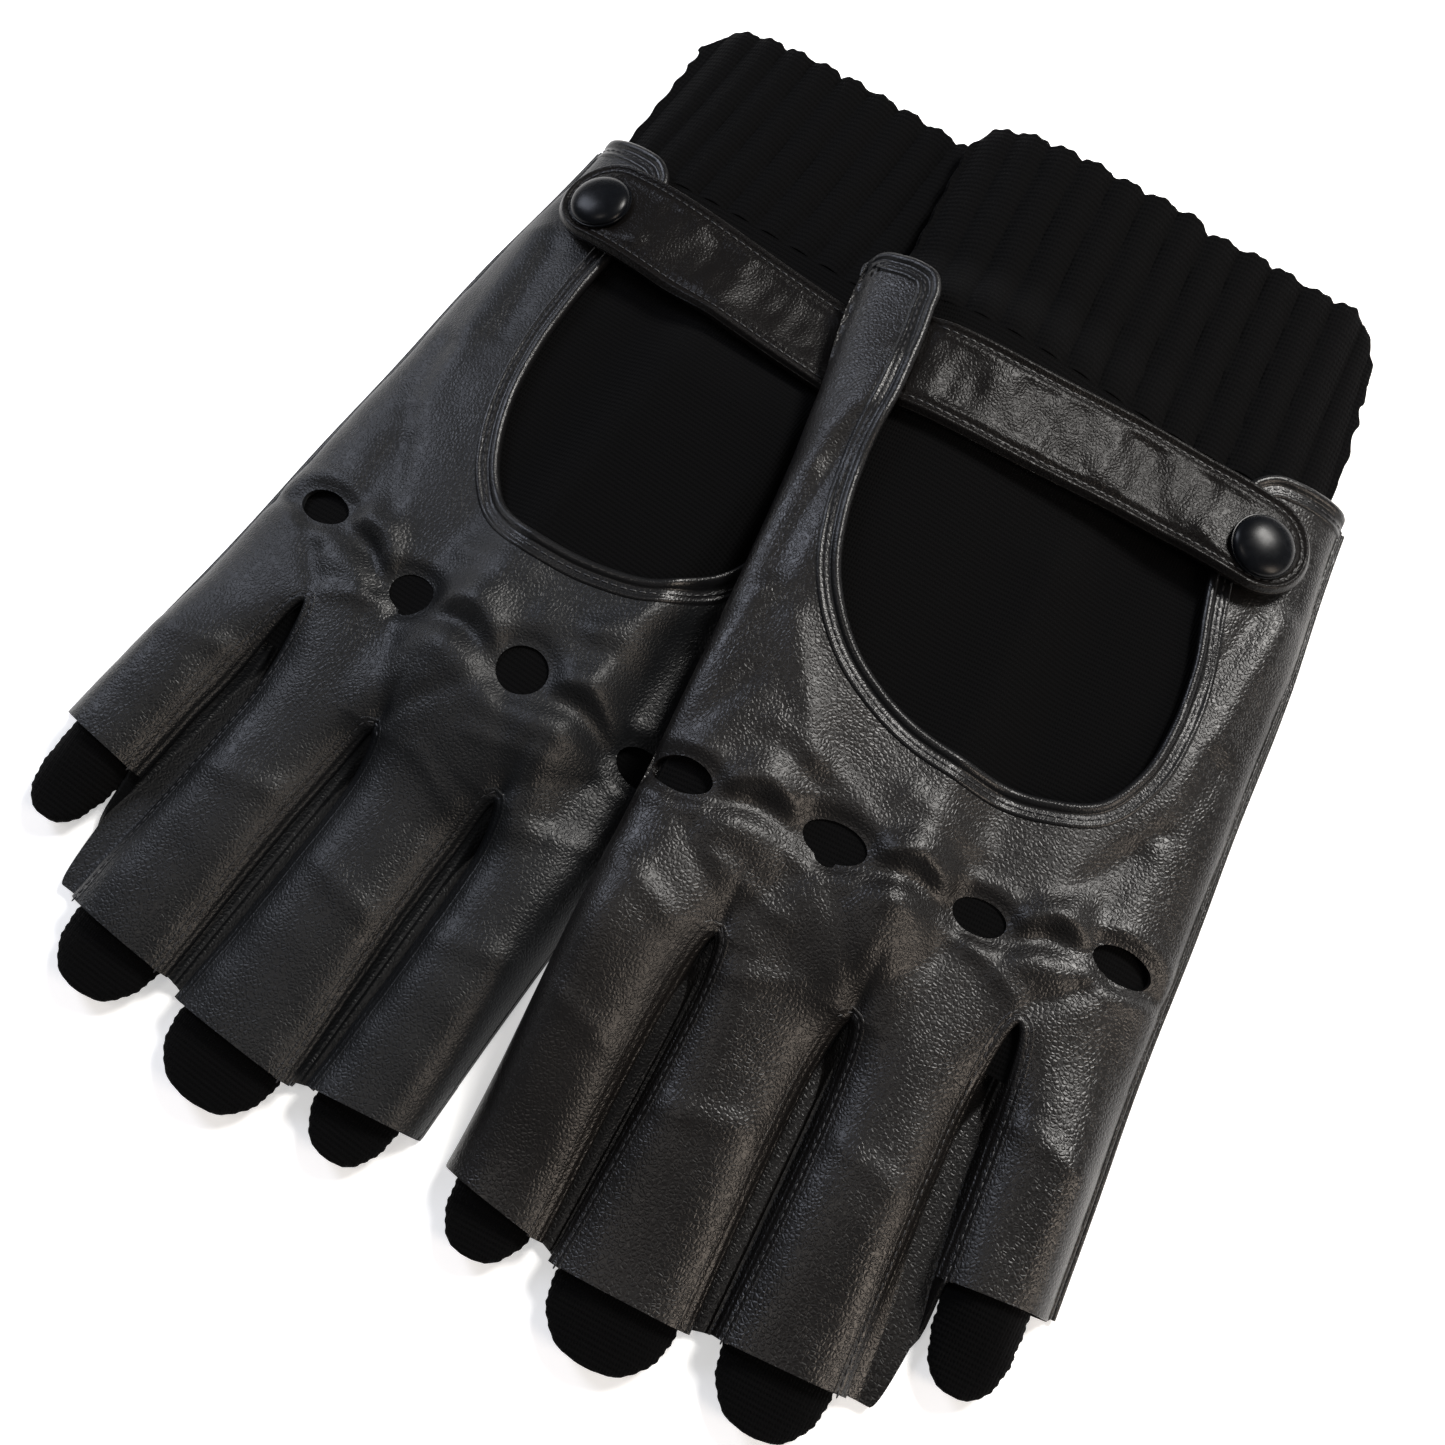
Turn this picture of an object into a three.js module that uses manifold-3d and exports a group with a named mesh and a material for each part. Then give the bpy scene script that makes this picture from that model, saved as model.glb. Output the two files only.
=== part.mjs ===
// A pair of fingerless leather driving gloves with knitted liners, lying palm down.
// Millimetres, +Z up. +Y runs along the gloves towards the cuffs, and the left glove, at +X,
// lies over the thumb side of the right one.
//
// Every glove is drawn as a left hand in its own flat frame: u runs across the hand towards the
// little finger, v runs along it towards the cuff, and z is up. The right glove is its mirror image.

import * as THREE from "three";
import { mergeVertices } from "three/addons/utils/BufferGeometryUtils.js";
import Module from "manifold-3d";

const wasm = await Module();
wasm.setup();

// ---------------------------------------------------------------- driving dimensions

const GLOVE_SPACING = 89.7; // between the two knuckle centres, across the pair
const GLOVE_STAGGER = 0.9; // how much nearer to its cuff the right glove lies
const LEAN = THREE.MathUtils.degToRad(4); // each glove's cuff leans towards the other glove
const PAIR_SHIFT = [0, -20.65]; // puts the origin under the middle of the pair

const LEATHER = 1.0; // thickness of the glove leather
const KNIT = 1.6; // thickness of the knitted fabric
const GAP = 0.3; // left between touching pieces
const LINER_LOW = LEATHER + GAP; // underside of the liner above the glove's underside
const HOLLOW_LOW = LINER_LOW + KNIT; // underside of the hand's hollow

const HAND_CROWN = 11.5; // height of the glove over the middle of the hand
const HAND_EDGE = 3.2; // height of its rolled side edges
const FINGER_CROWN = 11.0; // height over the middle of a finger stall
const FINGER_EDGE = 7.4; // height of a stall's walls beside a slit
const CUFF_CROWN = 9.6; // height of the ribbed cuff over its middle
const CUFF_EDGE = 3.6;

const OVERLAP_LIFT = 15.3; // height of the left glove's underside where it lies on the right glove
const LIFT_START = -8; // from the other glove's edge, where it starts to come down
const LIFT_RUN = 54; // width over which it comes down to the table
const THUMB_BUMP = 5.7; // height that the thumb stall folded under the palm takes

const WRIST_V = 97.5; // the leather's wrist edge
const CUFF_TOP_V = 141.5;
const STRAP_HALF_WIDTH = 10.2;
const STRAP_END = [33.5, 82.8]; // centre of the round strap end
const SNAP_CENTRE = [33.5, 81.2]; // the snap sits a little below the middle of the strap
const STRAP_PLY = 1.2; // outer leather of the strap
const STRAP_LINING_PLY = 0.8;
const SNAP_RADIUS = 6.2;
const SNAP_BORE = 2.6;

// Crotches of the three slits, and where the edges of the finger stalls end, from the index
// finger to the little finger: [edge nearer the index side, edge nearer the little finger].
const CROTCHES = [[-23.7, -29], [3.0, -30.8], [28.8, -18.3]];
const STALL_ENDS = [
  [[-47.4, -83], [-25.7, -86.4]],
  [[-21.9, -88.6], [2.1, -88]],
  [[7.0, -86.5], [28.2, -85]],
  [[33.8, -61.5], [52.3, -59.5]],
];
const FINGERS = ["index", "middle", "ring", "little"];
const SLITS = ["index_middle", "middle_ring", "ring_little"];
const LINER_TIPS = [-94, -100, -97, -77]; // v of each knitted fingertip edge
const LINER_STARTS = [-25, -25, -25, -14]; // v where each knitted finger leaves the hand

// The glove's surfaces bend only along these lines, so that stacked layers keep their gaps.
const COLUMNS = [-60, -53, -47, -40, -33, -25, -17, -9, -1, 7, 15, 23, 30, 37, 44, 50, 57];
const ROWS = [-104, -88, -66, -44, -26, -8, 14, 38, 58, 72, 86, 99, 120, 146];

// ---------------------------------------------------------------- plan and height of a glove

const smooth = THREE.MathUtils.smoothstep;
const mix = THREE.MathUtils.lerp;

const radialEdge = (v) => -47.7 - 0.04 * v - 0.00046 * v * v;
const ulnarEdge = (v) => 50.9 - 0.025 * v;

// u of the middle of a slit, which runs from its crotch to between two stall ends.
function slitLine(slit, v) {
  const [crotchU, crotchV] = CROTCHES[slit];
  const endU = (STALL_ENDS[slit][1][0] + STALL_ENDS[slit + 1][0][0]) / 2;
  const endV = STALL_ENDS[slit + 1][0][1];
  return mix(crotchU, endU, (v - crotchV) / (endV - crotchV));
}

// A crowned height: the edge height at both edges of a strip, the crown along its middle.
function crowned(u, low, high, edgeLow, crown, edgeHigh) {
  const q = THREE.MathUtils.clamp((2 * u - low - high) / (high - low), -1, 1);
  return mix(crown, q < 0 ? edgeLow : edgeHigh, q ** 4);
}

// Height of the glove's outer back surface above its underside.
function gloveHeight(u, v) {
  const hand = crowned(u, radialEdge(v), ulnarEdge(v), HAND_EDGE, HAND_CROWN, HAND_EDGE);
  const lines = [radialEdge(v), slitLine(0, v), slitLine(1, v), slitLine(2, v), ulnarEdge(v)];
  const finger = Math.max(0, lines.findLastIndex((line, i) => i < 4 && u >= line));
  const edgeLow = finger === 0 ? HAND_EDGE : FINGER_EDGE;
  const edgeHigh = finger === 3 ? HAND_EDGE : FINGER_EDGE;
  const stall = crowned(u, lines[finger], lines[finger + 1], edgeLow, FINGER_CROWN, edgeHigh);
  return mix(stall, hand, smooth(v, -42, -12));
}

// Extra height of the back leather where it covers the sewn end of the strap.
function tabRise(u, v) {
  return (STRAP_PLY + STRAP_LINING_PLY + GAP) * smooth(v, 56, 69) * (1 - smooth(u, -36, -30));
}

function cuffHeight(u, v) {
  return crowned(u, -53, mix(45, 40, (v - 99) / 40), CUFF_EDGE, CUFF_CROWN, CUFF_EDGE);
}

// Height of the palm's underside: a folded thumb lies below it.
function overThumb(u, v) {
  const across = smooth(u, -36, -26) * (1 - smooth(u, -1, 14));
  const along = smooth(v, -42, -14) * (1 - smooth(v, 58, 86));
  return THUMB_BUMP * across * along;
}

// The left glove also climbs on to the right glove's thumb side.
function overOtherGlove(u, v) {
  const down = (u + 40 - 0.138 * v - LIFT_START) / LIFT_RUN;
  const share = 1 - mix(THREE.MathUtils.clamp(down, 0, 1), smooth(down, 0, 1), 0.4);
  return share * (OVERLAP_LIFT * smooth(v, -88, -30) - 4.2 * smooth(v, 99, 112));
}

// ---------------------------------------------------------------- solids

// A geometry as a manifold-3d solid.
function toSolid(geometry) {
  const bare = geometry.clone().deleteAttribute("normal").deleteAttribute("uv");
  const merged = mergeVertices(bare, 1e-4);
  return new wasm.Manifold(
    new wasm.Mesh({
      numProp: 3,
      vertProperties: merged.attributes.position.array,
      triVerts: new Uint32Array(merged.index.array),
    }),
  );
}

// A manifold-3d solid as a geometry.
function toGeometry(solid) {
  const mesh = solid.getMesh();
  const geometry = new THREE.BufferGeometry();
  geometry.setAttribute("position", new THREE.BufferAttribute(mesh.vertProperties, 3));
  geometry.setIndex(new THREE.BufferAttribute(mesh.triVerts, 1));
  return geometry;
}

// The space between two heights over the whole grid.
function layer(low, high) {
  const across = COLUMNS.length;
  const count = across * ROWS.length;
  const points = [];
  for (const height of [low, high]) {
    for (const v of ROWS) {
      for (const u of COLUMNS) points.push(u, v, height(u, v));
    }
  }
  const faces = [];
  const quad = (a, b, c, d) => faces.push(a, b, c, a, c, d);
  for (let row = 0; row < ROWS.length - 1; row++) {
    for (let column = 0; column < across - 1; column++) {
      const corner = row * across + column;
      const top = corner + count;
      faces.push(corner, corner + across, corner + 1, corner + 1, corner + across, corner + across + 1);
      faces.push(top, top + 1, top + across, top + 1, top + across + 1, top + across);
    }
    const left = row * across;
    const right = left + across - 1;
    quad(left, left + count, left + across + count, left + across);
    quad(right, right + across, right + across + count, right + count);
  }
  for (let column = 0; column < across - 1; column++) {
    const far = column + (ROWS.length - 1) * across;
    quad(column, column + 1, column + 1 + count, column + count);
    quad(far, far + count, far + 1 + count, far + 1);
  }
  const geometry = new THREE.BufferGeometry();
  geometry.setAttribute("position", new THREE.Float32BufferAttribute(points, 3));
  geometry.setIndex(faces);
  return toSolid(geometry);
}

// An upright prism over a flat outline, taller than everything.
function prism(shape, curveSegments = 5) {
  const extruded = new THREE.ExtrudeGeometry(shape, { depth: 80, bevelEnabled: false, curveSegments });
  return toSolid(extruded.translate(0, 0, -20));
}

// A height that follows the flat facets of the layers instead of the smooth surface.
function onFacets(height) {
  return (u, v) => {
    const column = COLUMNS.findLastIndex((line, i) => i < COLUMNS.length - 1 && u >= line);
    const row = ROWS.findLastIndex((line, i) => i < ROWS.length - 1 && v >= line);
    const a = (u - COLUMNS[column]) / (COLUMNS[column + 1] - COLUMNS[column]);
    const b = (v - ROWS[row]) / (ROWS[row + 1] - ROWS[row]);
    const at = (i, j) => height(COLUMNS[column + i], ROWS[row + j]);
    if (a + b <= 1) return at(0, 0) + a * (at(1, 0) - at(0, 0)) + b * (at(0, 1) - at(0, 0));
    return at(1, 1) + (1 - a) * (at(0, 1) - at(1, 1)) + (1 - b) * (at(1, 0) - at(1, 1));
  };
}

// ---------------------------------------------------------------- outlines, in u and v

const shapeOf = (points) => new THREE.Shape(points.map(([u, v]) => new THREE.Vector2(u, v)));

// Points of a side edge of the leather, from one v to another.
function edgePoints(edge, fromV, toV, steps) {
  return Array.from({ length: steps + 1 }, (_, i) => {
    const v = mix(fromV, toV, i / steps);
    return [edge(v), v];
  });
}

// The four stalls with the slits between them, from the little finger's side to the index side.
function stallPoints() {
  const points = [];
  for (let finger = 3; finger >= 0; finger--) {
    const [near, far] = STALL_ENDS[finger];
    points.push(far, near);
    if (finger > 0) {
      const [u, v] = CROTCHES[finger - 1];
      points.push([u + 0.6, v], [u - 0.6, v]);
    }
  }
  return points;
}

// The whole leather outline with a rounded little-finger corner at the wrist, and on the thumb side
// a tab that stands a little past the wrist edge on the back of the hand.
function leatherShape(tabPast) {
  const shape = shapeOf([
    ...edgePoints(ulnarEdge, WRIST_V - 6, -59.5, 5).slice(0, -1),
    ...stallPoints(),
    ...edgePoints(radialEdge, -83, WRIST_V - 5, 6).slice(1),
  ]);
  shape.quadraticCurveTo(radialEdge(WRIST_V), WRIST_V + tabPast, -49, WRIST_V + tabPast);
  shape.lineTo(-30, WRIST_V + tabPast);
  shape.lineTo(-28, WRIST_V);
  shape.lineTo(44, WRIST_V);
  shape.quadraticCurveTo(47.5, WRIST_V, ulnarEdge(WRIST_V - 6), WRIST_V - 6);
  return shape;
}

// Edge of the D-shaped cut-out, open at the wrist, from the thumb side to the little finger's.
const CUTOUT = new THREE.SplineCurve(
  [
    [-40.6, 88], [-39.4, 74], [-38.6, 56], [-34.5, 39.5], [-25, 26.5], [-9, 18.8],
    [8, 17.2], [21.5, 19.8], [29.5, 30], [31.5, 46], [30, 62], [27.2, 78], [27.4, 93],
  ].map(([u, v]) => new THREE.Vector2(u, v)),
);
const BINDING_RADIUS = 0.95;

// The cut-out with the binding's width and a gap taken off the leather.
function cutoutShape() {
  const reach = BINDING_RADIUS + GAP;
  const outward = CUTOUT.getSpacedPoints(30).map((point, i) => {
    const along = CUTOUT.getTangentAt(i / 30);
    return [point.x + along.y * reach, point.y - along.x * reach];
  });
  return shapeOf([[-41.5, WRIST_V + 8], ...outward, [28.6, WRIST_V + 8]]);
}

const KNUCKLES = [[-40.6, -8.3], [-12.7, -6.4], [14.4, -6.3], [39.9, -1.6]];

// The knuckle holes: each glove's leather gathers them to slightly different ovals.
function knuckleHoles(radii) {
  return KNUCKLES.map(([u, v], i) => {
    const [across, along] = radii[i];
    return new THREE.Shape().absellipse(u, v, across, along, 0, 2 * Math.PI);
  });
}

// A folded strip that lines both walls of one slit.
function fourchetteShape(slit) {
  const wall = 0.9;
  const [crotchU, crotchV] = CROTCHES[slit];
  const [lowU, lowV] = STALL_ENDS[slit][1];
  const [highU, highV] = STALL_ENDS[slit + 1][0];
  return shapeOf([
    [lowU, lowV + 0.5], [crotchU - 0.6, crotchV], [crotchU + 0.6, crotchV], [highU, highV + 0.5],
    [highU + wall, highV + 0.5], [crotchU + 0.6 + wall, crotchV + 0.8],
    [crotchU, crotchV + 2.4], [crotchU - 0.6 - wall, crotchV + 0.8], [lowU - wall, lowV + 0.5],
  ]);
}

// A knitted finger, inset from its stall, with a round end. At inset 0 it is the outside of the
// tube; with a wall's inset it is the hollow, which runs out past both ends.
function linerFingerShape(finger, inset) {
  const clear = 1.6 + inset;
  const start = LINER_STARTS[finger] - GAP + (inset ? 4 : 0);
  const tip = LINER_TIPS[finger] - (inset ? 6 : 0);
  const low = (v) => (finger === 0 ? radialEdge(v) + 2.2 : slitSide(finger - 1, 1, v)) + clear;
  const high = (v) => (finger === 3 ? ulnarEdge(v) - 2.2 : slitSide(finger, 0, v)) - clear;
  const shoulder = tip + (inset ? 0 : 7);
  const shape = shapeOf([[high(start), start], [low(start), start], [low(shoulder), shoulder]]);
  const middle = (low(shoulder) + high(shoulder)) / 2;
  if (inset) {
    shape.lineTo(high(shoulder), shoulder);
  } else {
    shape.quadraticCurveTo(low(shoulder) + 0.6, tip, middle, tip);
    shape.quadraticCurveTo(high(shoulder) - 0.6, tip, high(shoulder), shoulder);
  }
  return shape;
}

// u of one wall of a slit: side 0 is its wall nearer the index finger.
function slitSide(slit, side, v) {
  const [crotchU, crotchV] = CROTCHES[slit];
  const [endU, endV] = side ? STALL_ENDS[slit + 1][0] : STALL_ENDS[slit][1];
  return mix(crotchU, endU, Math.max(0, (v - crotchV) / (endV - crotchV)));
}

// The knitted hand, and with a share of its width under 1 its hollow, open at both ends.
function linerHandShape(share, past) {
  const side = (edge, v) => mix((radialEdge(v) + ulnarEdge(v)) / 2, edge(v), share);
  const frontV = LINER_STARTS[0] - past;
  const littleV = LINER_STARTS[3] - past;
  const step = CROTCHES[2][0] - 3;
  return shapeOf([
    ...edgePoints((v) => side(ulnarEdge, v), WRIST_V + past, littleV, 4),
    [step, littleV], [step, frontV],
    ...edgePoints((v) => side(radialEdge, v), frontV, WRIST_V + past, 5),
  ]);
}

// The ribbed cuff with rounded top corners; inset and run past its ends it is the hollow.
function cuffShape(inset) {
  const start = WRIST_V + GAP - (inset ? 4 : 0);
  const shape = shapeOf([[44 - inset, start], [-51.5 + inset, start], [-52 + inset, CUFF_TOP_V - 9]]);
  if (inset) {
    shape.lineTo(-52 + inset, CUFF_TOP_V + 4);
    shape.lineTo(40 - inset, CUFF_TOP_V + 4);
    return shape;
  }
  shape.quadraticCurveTo(-52, CUFF_TOP_V - 3, -46, CUFF_TOP_V - 2.5);
  shape.quadraticCurveTo(-8, CUFF_TOP_V + 2.5, 35, CUFF_TOP_V - 2);
  shape.quadraticCurveTo(40.5, CUFF_TOP_V - 3, 40.5, CUFF_TOP_V - 8);
  return shape;
}

// The strap between two u values, or from one u to its round end.
function strapShape(fromU, toU = null) {
  const [endU, middle] = STRAP_END;
  const low = middle - STRAP_HALF_WIDTH;
  const high = middle + STRAP_HALF_WIDTH;
  const shape = shapeOf([[fromU, low], [toU ?? endU, low]]);
  if (toU === null) shape.absarc(endU, middle, STRAP_HALF_WIDTH, -Math.PI / 2, Math.PI / 2);
  shape.lineTo(toU ?? endU, high);
  shape.lineTo(fromU, high);
  return shape;
}

// A flattened thumb stall's outline, tapered towards its open end.
function thumbShape(inset, tipV, past = 0) {
  return shapeOf([
    [-25 + inset, 50 + past], [-24 + inset, tipV - past], [-4 - inset, tipV - past],
    [-2 - inset, 50 + past],
  ]);
}

// ---------------------------------------------------------------- the gloves

const FINISHES = {
  leather: { color: 0x1d1d1f, roughness: 0.42, metalness: 0 },
  lining: { color: 0x161617, roughness: 0.6, metalness: 0 },
  knit: { color: 0x0b0b0e, roughness: 0.95, metalness: 0 },
  snap: { color: 0x1a1e26, roughness: 0.2, metalness: 0.3 },
  brass: { color: 0x3a3630, roughness: 0.35, metalness: 1 },
};

// Turns a left-hand geometry into its mirror image, faces still outward.
function mirrored(geometry) {
  const flipped = geometry.index ? geometry : mergeVertices(geometry);
  flipped.scale(-1, 1, 1);
  const index = flipped.index.array;
  for (let i = 0; i < index.length; i += 3) [index[i + 1], index[i + 2]] = [index[i + 2], index[i + 1]];
  return flipped;
}

// One glove as a group. lie gives the height of its underside, knuckleRadii its knuckle holes,
// and hingeU the line across which its strap bends when it is opened.
function makeGlove(name, isRight, lie, knuckleRadii, hingeU) {
  const glove = new THREE.Group();

  function add(piece, finish, geometry) {
    geometry.deleteAttribute("uv");
    const made = isRight ? mirrored(geometry) : geometry;
    made.computeVertexNormals();
    const mesh = new THREE.Mesh(made, new THREE.MeshStandardMaterial(FINISHES[finish]));
    mesh.name = name + "_" + piece;
    glove.add(mesh);
    return mesh;
  }

  const above = (height) => (u, v) => lie(u, v) + height;
  const below = (depth) => (u, v) => lie(u, v) + gloveHeight(u, v) - depth;
  // A hollow never turns inside out where the glove is too thin to hold it.
  const hollowTop = (u, v) => lie(u, v) + Math.max(HOLLOW_LOW + 0.1, gloveHeight(u, v) - HOLLOW_LOW);

  function addLeather() {
    const palm = layer(lie, above(LEATHER));
    add("palm_panel", "leather", toGeometry(palm.intersect(prism(leatherShape(0)))));

    const back = layer(
      (u, v) => below(LEATHER)(u, v) + tabRise(u, v),
      (u, v) => below(0)(u, v) + tabRise(u, v),
    );
    let panel = back.intersect(prism(leatherShape(1.4))).subtract(prism(cutoutShape()));
    for (const hole of knuckleHoles(knuckleRadii)) panel = panel.subtract(prism(hole, 12));
    add("back_panel", "leather", toGeometry(panel));

    const walls = layer(above(LINER_LOW), below(LINER_LOW));
    SLITS.forEach((slit, i) => {
      const strip = walls.intersect(prism(fourchetteShape(i)));
      add("fourchette_" + slit, "leather", toGeometry(strip));
    });
  }

  // The rolled binding follows the cut-out's edge on top of the leather's edge.
  function addBinding() {
    const surface = onFacets((u, v) => below(0)(u, v) + tabRise(u, v));
    const path = new THREE.CatmullRomCurve3(
      CUTOUT.getSpacedPoints(26).map(({ x, y }) => new THREE.Vector3(x, y, surface(x, y) + 0.25)),
    );
    const section = new THREE.Shape().absarc(0, 0, BINDING_RADIUS, 0, 2 * Math.PI);
    const options = { steps: 36, curveSegments: 3, bevelEnabled: false, extrudePath: path };
    add("cutout_binding", "leather", new THREE.ExtrudeGeometry(section, options));
  }

  // A short leather tube pressed flat under the palm, with its knitted lining inside.
  function addThumb() {
    const slab = (low, high, shape) =>
      toSolid(
        new THREE.ExtrudeGeometry(shape, { depth: high - low, bevelEnabled: false }).translate(0, 0, low),
      );
    const stall = slab(0, 5.2, thumbShape(0, 0)).subtract(slab(0.9, 4.3, thumbShape(1, 0, 5)));
    add("thumb_stall", "leather", toGeometry(stall));
    const knit = slab(1.2, 4, thumbShape(1.4, -8)).subtract(slab(2.2, 3, thumbShape(3.4, -8, 5)));
    add("liner_thumb", "knit", toGeometry(knit));
  }

  function addLiner() {
    const outside = layer(above(LINER_LOW), below(LINER_LOW));
    const hollow = layer(above(HOLLOW_LOW), hollowTop);
    const hand = outside
      .intersect(prism(linerHandShape(0.95, 0)))
      .subtract(hollow.intersect(prism(linerHandShape(0.82, 6))));
    add("liner_hand", "knit", toGeometry(hand));
    FINGERS.forEach((finger, i) => {
      const tube = outside
        .intersect(prism(linerFingerShape(i, 0)))
        .subtract(hollow.intersect(prism(linerFingerShape(i, KNIT))));
      add("liner_" + finger, "knit", toGeometry(tube));
    });

    const cuffTop = (u, v) => lie(u, v) + cuffHeight(u, v);
    const cuffHollowTop = (u, v) => lie(u, v) + Math.max(2.2, cuffHeight(u, v) - KNIT);
    const cuff = layer(above(0.2), cuffTop)
      .intersect(prism(cuffShape(0)))
      .subtract(layer(above(0.2 + KNIT), cuffHollowTop).intersect(prism(cuffShape(5))));
    add("rib_cuff", "knit", toGeometry(cuff));
  }

  // The strap leaves its seam under the thumb side of the back, and climbs over the snap.
  const strapLow = (u, v) => below(LEATHER)(u, v) + 4.3 * smooth(u, -46, 46);
  const strapLayer = (from, to) =>
    layer(
      (u, v) => strapLow(u, v) + from,
      (u, v) => strapLow(u, v) + to,
    );

  function addStrap() {
    const full = STRAP_LINING_PLY + STRAP_PLY;
    const root = strapLayer(0, full).intersect(prism(strapShape(-51, hingeU - GAP)));
    add("strap_root", "leather", toGeometry(root));

    const [snapU, snapV] = SNAP_CENTRE;
    const rivetHole = prism(new THREE.Shape().absarc(snapU, snapV, 1.9, 0, 2 * Math.PI));
    const outline = prism(strapShape(hingeU)).subtract(rivetHole);
    const lining = strapLayer(0, STRAP_LINING_PLY).intersect(outline);
    add("strap_lining", "lining", toGeometry(lining));
    const outer = strapLayer(STRAP_LINING_PLY + GAP, full + GAP).intersect(outline);
    add("strap", "leather", toGeometry(outer));
  }

  // A turned piece of the snap, standing square to the strap's end.
  function addTurned(piece, finish, profile, height) {
    const points = profile.map(([r, z]) => new THREE.Vector2(r, z));
    const turned = new THREE.LatheGeometry(points, 20).rotateX(Math.PI / 2);
    const surface = onFacets(strapLow);
    const [u, v] = SNAP_CENTRE;
    const slopeU = (surface(u + 3, v) - surface(u - 3, v)) / 6;
    turned.rotateY(-Math.atan(slopeU)).translate(u, v, surface(u, v) + height);
    add(piece, finish, turned);
  }

  function addSnap() {
    const top = STRAP_LINING_PLY + GAP + STRAP_PLY + GAP;
    const dome = new THREE.EllipseCurve(0, 0.5, SNAP_RADIUS, 2.1, 0, Math.PI / 2).getPoints(6);
    addTurned("snap_cap", "snap", [
      [0, -top - 0.1], [1.3, -top - 0.1], [1.3, 0], [SNAP_RADIUS - 0.4, 0],
      ...dome.map(({ x, y }) => [x < 1e-6 ? 0 : x, y]),
    ], top);
    addTurned("snap_socket", "brass", [
      [SNAP_BORE, -1.6], [5.2, -1.6], [5.2, -0.3], [1.9, -0.3], [1.9, -0.7], [SNAP_BORE, -0.7],
      [SNAP_BORE, -1.6],
    ], 0);
    addTurned("snap_stud", "brass", [
      [0, -2.85], [4.8, -2.85], [4.8, -2.2], [1.7, -2.2], [1.9, -1.2], [0, -1.2],
    ], 0);
  }

  addLeather();
  addBinding();
  addThumb();
  addLiner();
  addStrap();
  addSnap();
  return glove;
}

const left = makeGlove(
  "left",
  false,
  (u, v) => Math.max(overThumb(u, v), overOtherGlove(u, v)),
  [[4.9, 2.9], [5.6, 3.4], [5.2, 3.2], [5.5, 3.2]],
  -35,
);
const right = makeGlove("right", true, overThumb, [[5, 3.4], [5, 5.2], [4.6, 4], [5.6, 3.6]], -16);

left.position.set(GLOVE_SPACING / 2 + PAIR_SHIFT[0], PAIR_SHIFT[1] - GLOVE_STAGGER / 2, 0);
left.rotation.z = LEAN;
right.position.set(-GLOVE_SPACING / 2 + PAIR_SHIFT[0], PAIR_SHIFT[1] + GLOVE_STAGGER / 2, 0);
right.rotation.z = -LEAN;

const pair = new THREE.Group();
pair.add(left, right);

export default pair;
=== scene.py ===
# A pair of fingerless leather driving gloves with knitted liners, lying palm down, the left one
# over the thumb side of the right one. Metres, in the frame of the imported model.
import math

import bpy
import numpy as np
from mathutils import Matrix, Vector


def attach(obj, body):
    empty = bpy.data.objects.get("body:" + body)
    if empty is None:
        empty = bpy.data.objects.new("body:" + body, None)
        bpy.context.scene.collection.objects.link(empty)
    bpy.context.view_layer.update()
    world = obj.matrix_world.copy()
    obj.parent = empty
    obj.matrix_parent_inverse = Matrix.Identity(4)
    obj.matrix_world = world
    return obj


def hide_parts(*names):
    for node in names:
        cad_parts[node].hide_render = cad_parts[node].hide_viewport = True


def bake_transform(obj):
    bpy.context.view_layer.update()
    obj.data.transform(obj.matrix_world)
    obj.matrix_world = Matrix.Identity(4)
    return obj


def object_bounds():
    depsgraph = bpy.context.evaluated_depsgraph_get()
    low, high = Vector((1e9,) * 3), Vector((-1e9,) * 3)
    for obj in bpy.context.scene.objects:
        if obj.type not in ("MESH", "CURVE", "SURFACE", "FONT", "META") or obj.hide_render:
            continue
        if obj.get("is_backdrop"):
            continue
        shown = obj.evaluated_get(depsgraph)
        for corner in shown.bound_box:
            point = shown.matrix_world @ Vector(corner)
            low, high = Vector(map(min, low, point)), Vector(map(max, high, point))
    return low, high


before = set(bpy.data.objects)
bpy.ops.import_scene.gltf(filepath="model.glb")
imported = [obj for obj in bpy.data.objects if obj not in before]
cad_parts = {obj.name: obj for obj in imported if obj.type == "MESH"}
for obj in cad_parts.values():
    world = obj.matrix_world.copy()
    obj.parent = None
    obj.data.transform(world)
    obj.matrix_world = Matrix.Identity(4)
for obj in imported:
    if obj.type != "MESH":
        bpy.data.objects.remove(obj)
cad_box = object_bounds()

# -------- camera and studio
# One camera looks down on the knuckles from the fingers' side. The gloves lie on a white table
# under large soft lamps, the way small leather goods are shown.

MM = 0.001
VIEW_AZIMUTH = math.radians(31)
VIEW_ELEVATION = math.radians(71)
VIEW_DISTANCE = 300 * MM
VIEW_TARGET = Vector((2.15, -14.08, 0)) * MM
LENS = 39.86
SENSOR_WIDTH = 36

camera_data = bpy.data.cameras.new("camera")
camera_data.lens = LENS
camera_data.sensor_width = SENSOR_WIDTH
camera_data.clip_start = 10 * MM
camera = bpy.data.objects.new("camera", camera_data)
bpy.context.scene.collection.objects.link(camera)
backward = Vector((
    math.sin(VIEW_AZIMUTH) * math.cos(VIEW_ELEVATION),
    -math.cos(VIEW_AZIMUTH) * math.cos(VIEW_ELEVATION),
    math.sin(VIEW_ELEVATION),
))
camera.location = VIEW_TARGET + backward * VIEW_DISTANCE
camera.rotation_euler = backward.to_track_quat("Z", "Y").to_euler()
bpy.context.scene.camera = camera


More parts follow.
